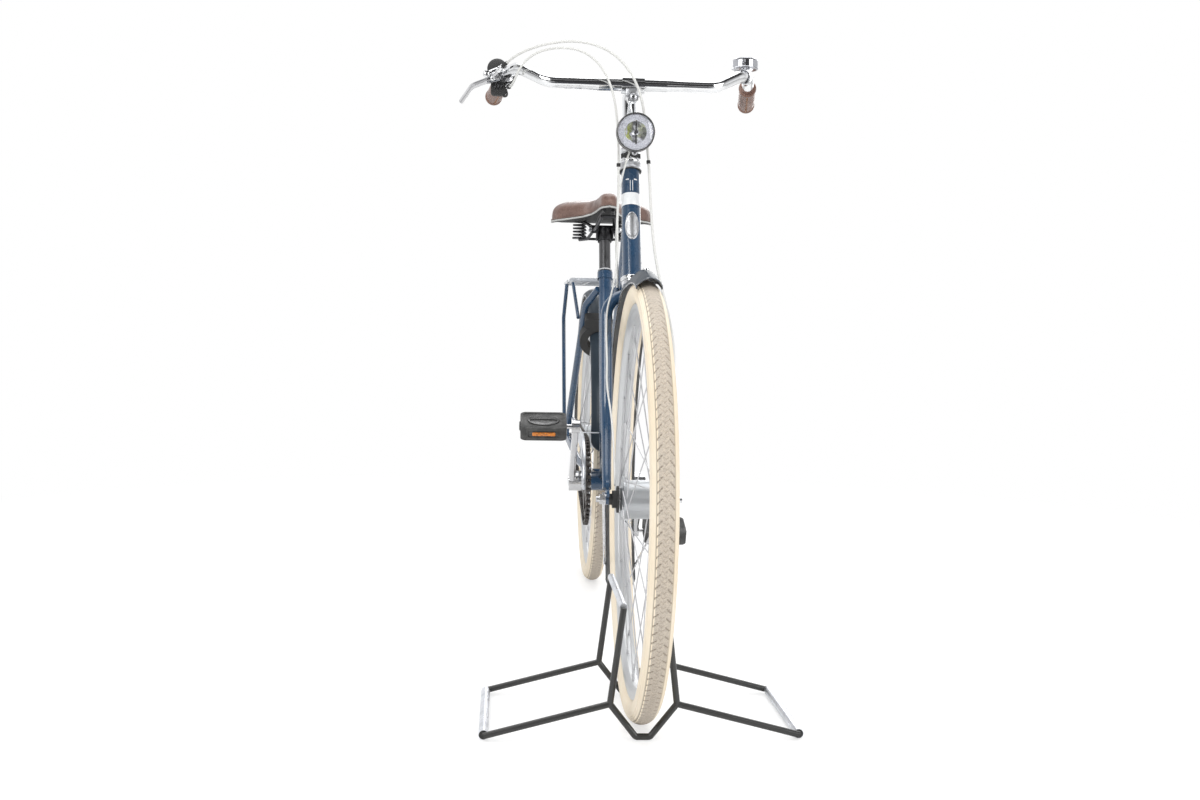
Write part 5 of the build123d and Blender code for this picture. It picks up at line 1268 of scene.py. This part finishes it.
# ------------------------------------------------------------------ small fittings
@dataclass
class HeadTrim:
    """Bare oval badge, decorative band and stripes on the head tube, the crown's clip and the brazed joints."""

    tube: float = 16.5
    badge_low: float = 470.0
    badge_high: float = 522.0
    badge_half: float = 12.5

    def wrap(self, at: np.ndarray, turn: np.ndarray, out: float | np.ndarray) -> np.ndarray:
        """Places round the head tube: height along it, turn from straight ahead, and distance off its wall."""
        reach = self.tube + out
        return (FOOT + at[..., None] * STEER_UP + (reach * np.cos(turn))[..., None] * STEER_AHEAD
                + (reach * np.sin(turn))[..., None] * SIDE)

    def badge(self) -> Grid:
        """Domed oval plate bent round the tube: rings of an ellipse, raised by a rounded rim and a shallow dome."""
        middle, half = (self.badge_low + self.badge_high) / 2, (self.badge_high - self.badge_low) / 2
        share = np.array([1.0, 1.0, 0.985, 0.93, 0.885, 0.86, 0.84, 0.7, 0.5, 0.25, 0.0])
        lift = np.array([0.05, 0.8, 1.25, 1.4, 1.25, 0.7, 0.6, 0.75, 0.9, 1.0, 1.05])
        turn = np.linspace(0, 2 * np.pi, 72, endpoint=False)[None]
        at = middle + half * share[:, None] * np.sin(turn)
        lean = self.badge_half / self.tube * share[:, None] * np.cos(turn)
        return Grid(self.wrap(at, lean, np.broadcast_to(lift[:, None], at.shape)), wrap_v=True)

    def band(self, low: float, high: float, reach: float, thick: float) -> Grid:
        """Part of a band round the tube with eased edges."""
        edge = np.array([0.0, 0.0, 0.4, high - low - 0.4, high - low, high - low])
        lift = np.array([0.02, thick * 0.6, thick, thick, thick * 0.6, 0.02])
        turn = np.linspace(-reach, reach, 60)
        at = np.broadcast_to((low + edge)[:, None], (6, 60))
        return Grid(self.wrap(at, np.broadcast_to(turn[None], at.shape), np.broadcast_to(lift[:, None], at.shape)))

    def build(self) -> None:
        """All the trim on the head tube and the frame's joints."""
        dressed(piece("head_badge", self.badge(), sharp=1.0), Finishes.BADGE, "frame", "chrome")
        dressed(piece("head_band", self.band(537, 560, 3.0, 0.35)), Finishes.PALE_BAND, "frame", "chrome")
        stripes = [Grid(self.wrap(np.linspace(563, 583, 6)[:, None] + np.zeros(4)[None],
                                  s * 0.13 + np.array([-0.035, -0.03, 0.03, 0.035])[None] + np.zeros((6, 1)),
                                  np.array([0.02, 0.3, 0.3, 0.02])[None] + np.zeros((6, 1)))) for s in (-1, 1)]
        marks = [Grid(self.wrap(np.array([584.0, 584.4, 586.0, 586.4])[:, None] + np.zeros(8)[None],
                                s * np.linspace(0.28, 0.62, 8)[None] + np.zeros((4, 1)),
                                np.array([0.02, 0.3, 0.3, 0.02])[:, None] + np.zeros((4, 8)))) for s in (-1, 1)]
        dressed(piece("head_lining", *stripes, *marks), Finishes.PALE_BAND, "frame", "chrome")
        rings = [lathe(steer(a), STEER_UP, [(0, 16.6), (0, 19.3), (1.2, 19.9), (3.4, 19.9), (4.6, 19.3), (4.6, 16.6)], 48)
                 for a in (399.0, 620.4)]
        skirt = lathe(steer(607.0), STEER_UP, [(0, 16.7), (0, 19.7), (0.8, 20.2), (2.0, 20.0), (3.0, 19.0), (7.0, 18.2),
                                               (12.0, 17.7), (13.4, 17.3), (13.4, 16.7)], 48)
        dressed(piece("headset_skirt", skirt), Finishes.CLAMP_SILVER, "frame", "chrome")
        # Black ring tucked under the skirt's lower edge: painted shadow of the skirt on the head tube.
        shadow = lathe(steer(605.8), STEER_UP, [(0, 16.6), (0, 19.0), (0.3, 19.5), (1.1, 19.5), (1.1, 16.6)], 48)
        dressed(piece("headset_shadow_ring", shadow), Finishes.BLACK_PLASTIC, "frame", "black_plastic")
        dressed(piece("headset_rings", *rings), Finishes.CHROME, "frame", "chrome")
        down, head = (steer(438.0), CRANK - steer(438.0), 15.9), (steer(500.0), STEER_UP, self.tube)
        shell = (CRANK, SIDE, 20.0)
        joints = [weld(down, head), weld((CRANK, steer(438.0) - CRANK, 15.9), shell), weld((CRANK, SEAT_UP, 14.3), shell)]
        dressed(piece("frame_joint_beads", *joints, sharp=math.pi), Finishes.BLUE_ENAMEL, "frame", "frame_paint")
        clip = [slab(steer(378.0, 0, 19.5), SIDE * 15, STEER_UP * 13, 2.4, 3.0),
                bolt(steer(378.0, 0, 20.8), STEER_AHEAD, 3.6, 3.4, BoltHead.DOME)]
        dressed(piece("crown_clip", *clip), Finishes.PLATED_WIRE, "front_assembly", "chrome")


@dataclass
class CockpitTrim:
    """Bolts and fittings on the stem, the brake lever, the gear twist grip and the bell."""

    def build(self) -> None:
        """The stem's socket bolt, the lever's clamp and pivot, the twist grip's ribs and the bell's lid and thumb lever."""
        stem = [bolt(BAR + spot(0, -16.4, -25), -BACK, 6.6, 3.6, BoltHead.DOME),
                lathe(BAR + spot(0, -13.4, -25), -BACK, [(0, 0), (0, 8.0), (0.5, 8.4), (2.6, 8.4), (3.1, 8.0), (3.1, 0)])]
        dressed(piece("stem_bolt", *stem), Finishes.CLAMP_SILVER, "front_assembly", "chrome")
        # Flat black hexagon on the bolt's dome: painted shade standing in for its hex socket.
        socket_shade = lathe(BAR + spot(0, -19.7, -25), -BACK, [(0, 0), (0, 2.4, 1), (0.5, 2.4, 1), (0.5, 0)], 24)
        half = 16.5
        wrap = [(-half, 12.7), (-half, 15.6), (-half + 0.8, 16.6), (half - 0.8, 16.6), (half, 15.6), (half, 12.7)]
        ears = slab(BAR + spot(0, -10.5, -17.0), SIDE * 25, UP * 15, 9.0, 3.0)
        dressed(piece("stem_clamp", lathe(BAR, SIDE, wrap, 48), ears), Finishes.CLAMP_SILVER, "front_assembly", "chrome")
        dressed(piece("stem_bolt_socket_shade", socket_shade), Finishes.BLACK_PLASTIC, "front_assembly", "black_steel")
        way = GRIP_WAY * MIRROR
        lever = GRIP_START * MIRROR + way * 15
        clamp = [bolt(lever + spot(0, -15, -1), -BACK, 3.6, 4.0, BoltHead.SOCKET),
                 bolt(lever + spot(-24, -12.5, -9), unit(spot(0.15, -1, 0.1)), 5.2, 4.2, BoltHead.DOME),
                 bolt(lever + spot(-24, 6.0, -9), BACK, 4.4, 3.6)]
        arm = capsule(lever + spot(-36, -12, -3), lever + spot(-2, -12, 12), 4.8, 14)
        bulb = lathe(lever + spot(-35, -15, -2.5), -BACK, [(0, 0), (0, 6.2), (1.4, 6.8), (4.5, 5.6), (6.0, 3.0), (6.4, 0)], 20)
        clamp += [arm, bulb, bolt(lever + spot(-3, -16, 8), -BACK, 6.2, 3.4, BoltHead.DOME)]
        dressed(piece("lever_bolts", *clamp), Finishes.CHROME, "front_assembly", "chrome")
        nose = lever + spot(-6, -44, 6)
        run = unit(nose - (lever + spot(-28, -6, -9)))
        barrel = lathe(nose - run * 15, run, [(0, 4.1), (0, 5.4), (1, 5.9), (7, 5.9), (8, 5.2), (9, 4.8), (14.5, 4.6),
                                             (15, 4.1)], 20)
        dressed(piece("lever_adjuster", barrel), Finishes.CHROME, "front_assembly", "chrome")
        ribs = np.linspace(0, 2 * np.pi, 26, endpoint=False)
        axis = unit(way)
        first = unit(np.cross(axis, UP))
        second = np.cross(axis, first)
        centre = GRIP_START * MIRROR
        ribbed = [capsule(centre + way * 37.5 + 19.0 * (math.cos(t) * first + math.sin(t) * second),
                          centre + way * 48.4 + 19.0 * (math.cos(t) * first + math.sin(t) * second), 1.0, 6) for t in ribs]
        collar = lathe(centre + way * 23.6, way, [(0, 12.0), (0, 19.2), (0.8, 20.0), (4.4, 20.0), (5.2, 19.2), (5.2, 12.0)], 48)
        dressed(piece("twist_ribs", *ribbed, collar), Finishes.PEDAL_RUBBER, "front_assembly", "black_plastic")
        self.shifter_housing(centre + way * 22)
        spout = centre + way * 30 + spot(8, -40, -24)
        run = unit(spot(5, -40, -8.5))
        barrel = lathe(spout - run * 14, run, [(0, 4.1), (0, 5.0), (0.8, 5.4), (8, 5.4), (9, 4.8), (14.5, 4.4), (14.5, 3.0)], 20)
        dressed(piece("gear_adjuster", barrel), Finishes.CHROME, "front_assembly", "chrome")
        low, high = box_mm("bell")
        place = spot((low[0] + high[0]) / 2, BAR[1] + 57.0, high[2] - 16.0)
        lid = [(-2.2, 22.0), (-1.6, 23.6), (0.2, 24.2), (1.2, 23.4), (13.2, 23.2), (15.4, 22.4), (17.4, 19.0), (18.4, 11.0),
               (18.7, 4.2), (18.2, 3.6), (18.2, 0)]
        dressed(piece("bell_dome", lathe(place, UP, [(-2.2, 0)] + lid, 22), sharp=0.2), Finishes.BELL_CHROME, "front_assembly", "chrome", "bell")
        stud = bolt(place + UP * 18.0, UP, 3.4, 1.6, BoltHead.DOME)
        foot = lathe(place - UP * 4.6, UP, [(0, 0), (0, 8.0), (1.0, 8.6), (3.4, 8.6), (4.7, 7.6), (4.7, 0)], 24)
        strap = lathe(BAR + spot(205.5, 40, 29) + unit(spot(0.4, 0.9, 0)) * 8, unit(spot(0.4, 0.9, 0)),
                      [(0, 11.3), (0, 13.4), (0.6, 13.8), (9.4, 13.8), (10, 13.4), (10, 11.3)], 32)
        lever_path = route_line(np.array([place + spot(-14, -14, 0), place + spot(-21, -19, -2), place + spot(-26, -26, -6)]), 2.0)
        thumb = sweep(lever_path, rounded(8.0, 2.2, 0.9), 1.0, UP)
        dressed(piece("bell_foot", stud, foot, strap, thumb), Finishes.PLATED_WIRE, "front_assembly", "chrome")

    def shifter_housing(self, at: np.ndarray) -> None:
        """Black gear housing behind the lever: a domed round cover over a rounded body with slots and a hook."""
        dome = at + spot(-15.0, 8.0, 12.5)
        cover = lathe(dome - BACK * 16, BACK, [(0, 0), (0.6, 7.0), (2.4, 13.0), (5.6, 17.0), (9.5, 18.6), (22, 18.6), (25, 17),
                                               (26, 0)], 40)
        body = slab(at + spot(-12.5, 6.0, -18.0), SIDE * 28, UP * 35, 17.0, 6.0, 2.2)
        slots = [slab(at + spot(-12.5 + s, -3.0, -18.0), SIDE * 2.2, UP * 15, 1.6, 0.9, 0.3) for s in (-6, 0, 6)]
        hook = sweep(route_line(at + np.array([(2.0, 3.0, -26.0), (4.5, 2.0, -33.0), (1.0, 1.0, -38.0), (-3.5, 1.0, -37.0)])),
                     ring(1.9, 8), 1.0, BACK)
        dressed(piece("shifter_housing", cover, body, hook), Finishes.BLACK_PLASTIC, "front_assembly", "black_plastic")
        dressed(piece("shifter_slots", *slots), Finishes.DARK_STEEL, "front_assembly", "black_plastic")


@dataclass
class PedalTrim:
    """Reflectors, end caps and grip studs of one pedal."""

    side: str
    tilt: float = math.radians(20.0)

    def build(self) -> None:
        """Both reflectors and the axle's cap, turned with the pedal."""
        sign = -1 if self.side == "right" else 1
        centre = mm(joint_place(f"{self.side}_pedal_spin")) * spot(0, 1, 1) + spot(sign * 139.0, 0, 0)
        back = spot(0, math.cos(self.tilt), math.sin(self.tilt))
        top = spot(0, -math.sin(self.tilt), math.cos(self.tilt))
        plates = [slab(centre + back * s * 38.3, SIDE * 46, top * 7.5, 2.0, 2.0, 0.6) for s in (-1, 1)]
        body = f"{self.side}_pedal"
        dressed(piece(f"{self.side}_pedal_reflectors", *plates), Finishes.AMBER, body, "pedal_black")
        cap = lathe(centre + SIDE * sign * 45.8, SIDE * sign, [(0, 0), (0, 9), (0.5, 9.6), (1.6, 9.4), (2.4, 7.6), (2.6, 0)])
        dressed(piece(f"{self.side}_pedal_cap", cap), Finishes.BLACK_PLASTIC, body, "pedal_black")
        turn = np.linspace(0, 2 * np.pi, 48, endpoint=False)[None]
        share = np.array([1.04, 1.03, 1.0, 0.96, 0.92, 0.5, 0.0])[:, None]
        lift = np.array([13.3, 14.2, 14.5, 14.3, 13.8, 13.7, 13.7])[:, None]
        oval = 31.0 * (share * np.cos(turn))[..., None] * SIDE + 24.0 * (share * np.sin(turn))[..., None] * back
        wells = [Grid(centre + oval[:, ::s] + s * lift[..., None] * top, wrap_v=True) for s in (1, -1)]
        dressed(piece(f"{self.side}_pedal_wells", *wells), Finishes.PEDAL_WELL, body, "pedal_black")
        ribs = [sweep(np.array([centre + SIDE * x + back * s * 3.0 * math.cos(x / 20.0) + top * s * 14.3
                                for x in np.linspace(-27, 27, 13)]), ring(1.0, 8), 1.0, top) for s in (1, -1)]
        dressed(piece(f"{self.side}_pedal_ribs", *ribs), Finishes.PEDAL_RUBBER, body, "pedal_black")
        rows = np.array([(x, y) for x in np.linspace(-38, 38, 20) for y in (-35.4, -33.0, 33.0, 35.4)])
        studs = [lathe(centre + SIDE * x + back * y + top * s * 13.4, top * s, [(0, 0), (0, 1.1), (0.5, 0.8), (0.5, 0)], 6)
                 for x, y in rows for s in (-1, 1)]
        dressed(piece(f"{self.side}_pedal_studs", *studs), Finishes.PEDAL_RUBBER, body, "pedal_black")


@dataclass
class WheelTrim:
    """Valve stems with their caps."""

    def build(self) -> None:
        """One valve a wheel, pointing at the axle."""
        for name, centre, turn in (("front", FRONT, math.radians(200)), ("rear", REAR, math.radians(250))):
            out = spot(0, math.sin(turn), math.cos(turn))
            low, high = box_mm(f"{name}_rim")
            inner = float(high[2] - low[2]) / 2 - 21.0
            stem = [(0, 0), (0, 3.2), (1, 3.5), (9, 3.5), (10, 3.0), (11, 2.6), (11, 3.9), (13.5, 3.9), (13.5, 3.0), (32, 3.0),
                    (32, 0)]
            valve = lathe(centre + out * (inner - 27), out, stem, 20)
            dressed(piece(f"{name}_valve", valve), Finishes.BLACK_PLASTIC, f"{name}_wheel", "black_plastic")


@dataclass
class ChainGuard:
    """Slim chain guard: a bright plate outside the chain with a narrow lip, in place of the wide CAD flange."""

    plate_at: float = -55.5
    clearance: float = 11.5
    depth: float = 27.5
    lip: float = 4.6
    sheet: float = 1.5
    strap_at: float = 355.0

    def build(self) -> None:
        """A thin section carried round the ring's front and back along the chain's upper run.

        The straight run touches both pitch circles, so its outward direction leans from the line between
        the axles by the arc cosine of the radii's difference over the span.
        """
        low, high = box_mm("chain_guard")
        chain_low, chain_high = box_mm("chain")
        outer = float(CRANK[1] - low[1])
        big = outer - self.clearance
        small = float(chain_high[1] - REAR[1]) - (float(CRANK[1] - chain_low[1]) - big)
        span = REAR - CRANK
        slope = math.atan2(span[2], span[1])
        upper = slope + math.acos((big - small) / math.hypot(span[1], span[2]))
        out = spot(0, math.cos(upper), math.sin(upper))
        along = spot(0, math.sin(upper), -math.cos(upper))
        turn = np.linspace(slope + math.pi - 0.06, upper, 40)[:, None]
        way_out = np.cos(turn) * BACK + np.sin(turn) * UP
        reach = float((high[1] - CRANK[1] - out[1] * outer) / along[1])
        run = CRANK + out * outer + np.linspace(0, reach, 40)[1:, None] * along
        path = np.concatenate([CRANK + way_out * outer, run])
        outward = np.concatenate([way_out, np.broadcast_to(out, run.shape)])
        d, t, w = self.depth, self.sheet, self.lip
        bend = np.linspace(0, math.pi / 2, 6)
        outside = np.stack([-t + 3.0 - 3.0 * np.cos(bend), -3.0 + 3.0 * np.sin(bend)], axis=-1)
        inside = np.stack([1.5 - 1.5 * np.cos(bend[::-1]), -3.0 + 1.5 * np.sin(bend[::-1])], axis=-1)
        section = np.concatenate([[(-t, -d), (-t, -d / 2)], outside, [(w, 0.0), (w, -t)], inside, [(0, -d / 2), (0, -d)]])
        points = (path + SIDE * self.plate_at)[:, None] + section[None, :, :1] * SIDE + section[None, :, 1:] * outward[:, None]
        ends = [np.broadcast_to(points[k].mean(axis=0), points[:1].shape) for k in (0, -1)]
        shell = Grid(np.concatenate([ends[0], points, ends[1]]), wrap_v=True)
        rolled = sweep(path + SIDE * (self.plate_at - t / 2) - outward * d, ring(1.3, 8), 1.0, SIDE)
        lean = math.atan2(SEAT_UP[2], SEAT_UP[1]) - (upper - math.pi / 2)
        hold = on_seat_tube((outer - t) / math.sin(lean) + 2.0) * spot(0, 1, 1)
        tab = slab(hold + spot(-35.5, 0, -2.4), SIDE * 41, BACK * 16, t, 3.0)
        strap_z = CRANK[2] + self.strap_at * math.tan(slope) + 25.3
        strap = slab(spot(self.plate_at - t / 2, CRANK[1] + self.strap_at, strap_z), BACK * 14, UP * 29, t, 3.0)
        dressed(piece("chain_guard_shell", shell, rolled, tab, strap), Finishes.ZINC_TUBE, "frame", "guard_silver",
                "chain_guard")


@dataclass
class RearTrim:
    """Seat collar's lip, seat clamp bolts, rack nuts and crank dust caps."""

    def build(self) -> None:
        """All the rear trim."""
        low_c, high_c = box_mm("seat_collar")
        collar = (low_c + high_c) / 2
        clamp = [bolt(collar + spot(s * 9.0, 17.0, -5.0), SIDE * s, 4.6, 5.0, BoltHead.SOCKET if s > 0 else BoltHead.HEX)
                 for s in (-1, 1)]
        ears = [slab(collar + spot(s * 5.5, 15.5, -5.0), BACK * 13, UP * 12, 4.0, 3.0) for s in (-1, 1)]
        lip = on_seat_tube(float(np.dot(spot(0, collar[1], high_c[2]) - CRANK, SEAT_UP)) - 1.0)
        lipped = lathe(lip, SEAT_UP, [(0, 13.4), (0, 15.4), (0.4, 15.9), (1.8, 15.9), (2.3, 15.2), (2.3, 13.4)], 40)
        dressed(piece("seat_collar_lip", lipped), Finishes.SILVER_ENAMEL, "frame", "chrome")
        dressed(piece("seat_clamp_bolt", *clamp, *ears), Finishes.CHROME, "frame", "chrome")
        caps = [lathe(CRANK + SIDE * s * 79.8, SIDE * s, [(0, 0), (0, 10.6), (0.6, 11.2), (1.6, 11.0), (2.4, 9.2), (2.6, 0)])
                for s in (-1, 1)]
        dressed(piece("crank_dust_caps", *caps), Finishes.CHROME, "crank", "chrome")
        rack_low, rack_high = box_mm("rack_platform")
        nuts = [bolt(spot(s * (rack_high[0] - 3.0), rack_high[1] - 200.0, rack_high[2] - 5.0), SIDE * s, 4.6, 4.0)
                for s in (-1, 1)]
        dressed(piece("rack_nuts", *nuts), Finishes.CHROME, "frame", "chrome")


@dataclass
class StandTrim:
    """Black end caps of the display stand's foot tubes."""

    def build(self) -> None:
        """Caps on both ends of the foot tubes."""
        low, high = box_mm("stand_tubes")
        caps = []
        for s in (-1, 1):
            for y, way in ((low[1], -BACK), (high[1], BACK)):
                at = spot(s * (high[0] - 7.5), y, 7.55)
                caps.append(lathe(at - way * 9, way, [(0, 6.9), (0, 7.2), (0.4, 7.45), (8.4, 7.45), (9.0, 6.9), (9.2, 0)], 24))
        dressed(piece("stand_foot_caps", *caps), Finishes.BLACK_PLASTIC, "front_assembly", "black_plastic")


# ------------------------------------------------------------------ studio
@dataclass
class Studio:
    """White studio: pale floor, even sky light, a dark room behind the camera for metal to show, and soft boxes."""

    sky: float = 0.62
    floor_radius: float = 14.0
    fade_from: float = 0.7
    fade_to: float = 2.6

    def world(self) -> None:
        """Even light; the camera sees plain white, and polished metal sees a dark room ahead of the bicycle.

        For glossy rays the world is bright at the sides, behind and low down; a dark room with one thin light
        streak fills the middle ahead of the bicycle, from the horizon to overhead.
        """
        world = bpy.data.worlds.new("studio")
        world.use_nodes = True
        bpy.context.scene.world = world
        g = Graph.__new__(Graph)
        g.tree = world.node_tree
        g.tree.nodes.clear()
        output = g.node("ShaderNodeOutputWorld")
        rays = g.node("ShaderNodeLightPath")
        seen = g.maths("MAXIMUM", rays.outputs["Is Camera Ray"], rays.outputs["Is Transmission Ray"])
        way = g.node("ShaderNodeTexCoord").outputs["Generated"]
        height, ahead, aside = g.part(way, "Z"), g.part(way, "Y"), g.maths("ABSOLUTE", g.part(way, "X"))
        bands = ((0.0, 0.10), (0.49, 0.06), (0.52, 0.035), (0.725, 0.035), (0.735, 0.6), (0.75, 0.6), (0.76, 0.035),
                 (0.9, 0.05), (1.0, 0.3))
        room = g.ramp(g.span(height, -1.0, 1.0), *((p, (v, v, v * 1.02, 1.0)) for p, v in bands))
        mirror = g.node("ShaderNodeBackground")
        bright = (0.95, 0.95, 0.96, 1.0)
        open_share = g.maths("MAXIMUM", g.span(ahead, 0.0, 0.45), g.span(aside, 0.82, 0.98))
        g.link(g.mix(open_share, room, bright), mirror.inputs["Color"])
        plain, white = g.node("ShaderNodeBackground"), g.node("ShaderNodeBackground")
        plain.inputs["Color"].default_value = white.inputs["Color"].default_value = (1, 1, 1, 1)
        plain.inputs["Strength"].default_value = self.sky
        first, second = g.node("ShaderNodeMixShader"), g.node("ShaderNodeMixShader")
        g.link(rays.outputs["Is Glossy Ray"], first.inputs[0])
        g.link(plain.outputs[0], first.inputs[1])
        g.link(mirror.outputs[0], first.inputs[2])
        g.link(seen, second.inputs[0])
        g.link(first.outputs[0], second.inputs[1])
        g.link(white.outputs[0], second.inputs[2])
        g.link(second.outputs[0], output.inputs[0])

    def floor(self) -> None:
        """Round pale floor that fades to white away from the bicycle and keeps a soft shadow near it."""
        turn = np.linspace(0, 2 * np.pi, 96, endpoint=False)
        reach = np.array([0.0, 1000.0, 3000.0, self.floor_radius / MM])[:, None]
        points = np.stack([reach * np.cos(turn), reach * np.sin(turn), np.zeros_like(reach * turn)], axis=-1)
        thing = piece("floor", Grid(points[::-1] - GROUND / MM, wrap_v=True))
        g = Graph("floor")
        g.tree.nodes.remove(g.shader)
        length = g.node("ShaderNodeVectorMath", operation="LENGTH")
        g.link(g.place(), length.inputs[0])
        far = g.span(length.outputs["Value"], self.fade_from, self.fade_to)
        plain, shadowed = g.node("ShaderNodeBsdfDiffuse"), g.node("ShaderNodeBsdfDiffuse")
        rays = g.node("ShaderNodeLightPath")
        aside = g.span(g.maths("ABSOLUTE", g.part(g.place(), "X")), 0.9, 1.8, 1.0, 0.0)
        dark = g.maths("MULTIPLY", g.span(g.part(g.place(), "Y"), -1.9, -1.35, 1.0, 0.0), aside)
        mirrored = g.maths("MULTIPLY", dark, rays.outputs["Is Glossy Ray"])
        g.link(g.mix(mirrored, (0.80, 0.80, 0.80, 1.0), (0.05, 0.05, 0.055, 1.0)), plain.inputs["Color"])
        shadowed.inputs["Color"].default_value = (0.52, 0.52, 0.52, 1.0)
        glow, white = g.node("ShaderNodeEmission"), g.node("ShaderNodeEmission")
        glow.inputs["Strength"].default_value = 0.52
        white.inputs["Strength"].default_value = 1.0
        lit, seen, chosen = (g.node(kind) for kind in ("ShaderNodeAddShader", "ShaderNodeMixShader",
                                                       "ShaderNodeMixShader"))
        g.link(shadowed.outputs[0], lit.inputs[0])
        g.link(glow.outputs[0], lit.inputs[1])
        g.link(far, seen.inputs[0])
        g.link(lit.outputs[0], seen.inputs[1])
        g.link(white.outputs[0], seen.inputs[2])
        g.link(g.maths("MAXIMUM", rays.outputs["Is Camera Ray"], rays.outputs["Is Transmission Ray"]), chosen.inputs[0])
        g.link(plain.outputs[0], chosen.inputs[1])
        g.link(seen.outputs[0], chosen.inputs[2])
        g.link(chosen.outputs[0], g.output.inputs["Surface"])
        thing.data.materials.append(g.material)

    def soft_box(self, name: str, place: Point, target: Point, size: float, watts: float) -> None:
        """Square soft light aimed at a point."""
        light = bpy.data.lights.new(name, "AREA")
        light.size = size
        light.energy = watts
        thing = bpy.data.objects.new(name, light)
        thing.location = place
        thing.rotation_mode = "QUATERNION"
        thing.rotation_quaternion = (Vector(target) - Vector(place)).to_track_quat("-Z", "Y")
        bpy.context.scene.collection.objects.link(thing)

    def camera(self) -> None:
        """Camera ahead of the front wheel and a little to the bicycle's right, level with the lower bar."""
        place = Vector(FRONT_AXLE) + Vector((-0.2160, -2.0218, 0.2856))
        yaw, pitch, roll = math.radians(-4.25), math.radians(-3.58), math.radians(1.13)
        ahead = Vector((-math.sin(yaw) * math.cos(pitch), math.cos(yaw) * math.cos(pitch), math.sin(pitch)))
        level = Vector((math.cos(yaw), math.sin(yaw), 0.0))
        upright = level.cross(ahead)
        right = level * math.cos(roll) + upright * math.sin(roll)
        up = upright * math.cos(roll) - level * math.sin(roll)
        data = bpy.data.cameras.new("camera")
        data.sensor_width = 36.0
        data.lens = 38.32
        data.clip_start = 0.01
        data.clip_end = 100.0
        thing = bpy.data.objects.new("camera", data)
        turn = Matrix((right, up, -ahead)).transposed().to_4x4()
        thing.matrix_world = Matrix.Translation(place) @ turn
        bpy.context.scene.collection.objects.link(thing)
        bpy.context.scene.camera = thing

    def build(self) -> None:
        """Makes the whole studio."""
        self.world()
        self.floor()
        self.camera()
        self.soft_box("key", (-2.6, -3.4, 2.6), (0.0, 0.0, 0.6), 2.2, 95.0)
        self.soft_box("fill", (2.8, -3.0, 1.8), (0.0, 0.0, 0.6), 2.2, 70.0)
        self.soft_box("top", (0.0, 0.2, 3.6), (0.0, 0.0, 0.5), 3.0, 60.0)
        self.soft_box("behind", (1.2, 4.0, 2.4), (0.0, 0.0, 0.6), 2.6, 60.0)
        bpy.context.scene.view_settings.view_transform = "Standard"


def write_sizes() -> None:
    """Updates the view layer."""
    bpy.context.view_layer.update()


def main() -> None:
    """Builds the looks in order: studio, finishes on the CAD nodes, then each new piece."""
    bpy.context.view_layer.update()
    Studio().build()
    dress_cad_nodes()
    Tyre("front_tyre_tread", "front_wheel", "front_tyre", FRONT_AXLE).build()
    Tyre("rear_tyre_tread", "rear_wheel", "rear_tyre", REAR_AXLE).build()
    Mudguard("front_guard", "front_mudguard", FRONT, 17.0, 126.0, end_length=25.0, rise=5.0, taper=0.26).build()
    Mudguard("rear_guard", "rear_mudguard", REAR, 90.0, 104.0).build()
    Saddle().build()
    Grip("left_grip_leather", "grip_left", False).build()
    Grip("right_grip_leather", "grip_right", True).build()
    Headlamp().build()
    Cables().build()
    HeadTrim().build()
    CockpitTrim().build()
    for side in ("right", "left"):
        PedalTrim(side).build()
    WheelTrim().build()
    ChainGuard().build()
    RearTrim().build()
    StandTrim().build()
    write_sizes()


if __name__ == "__main__":
    main()
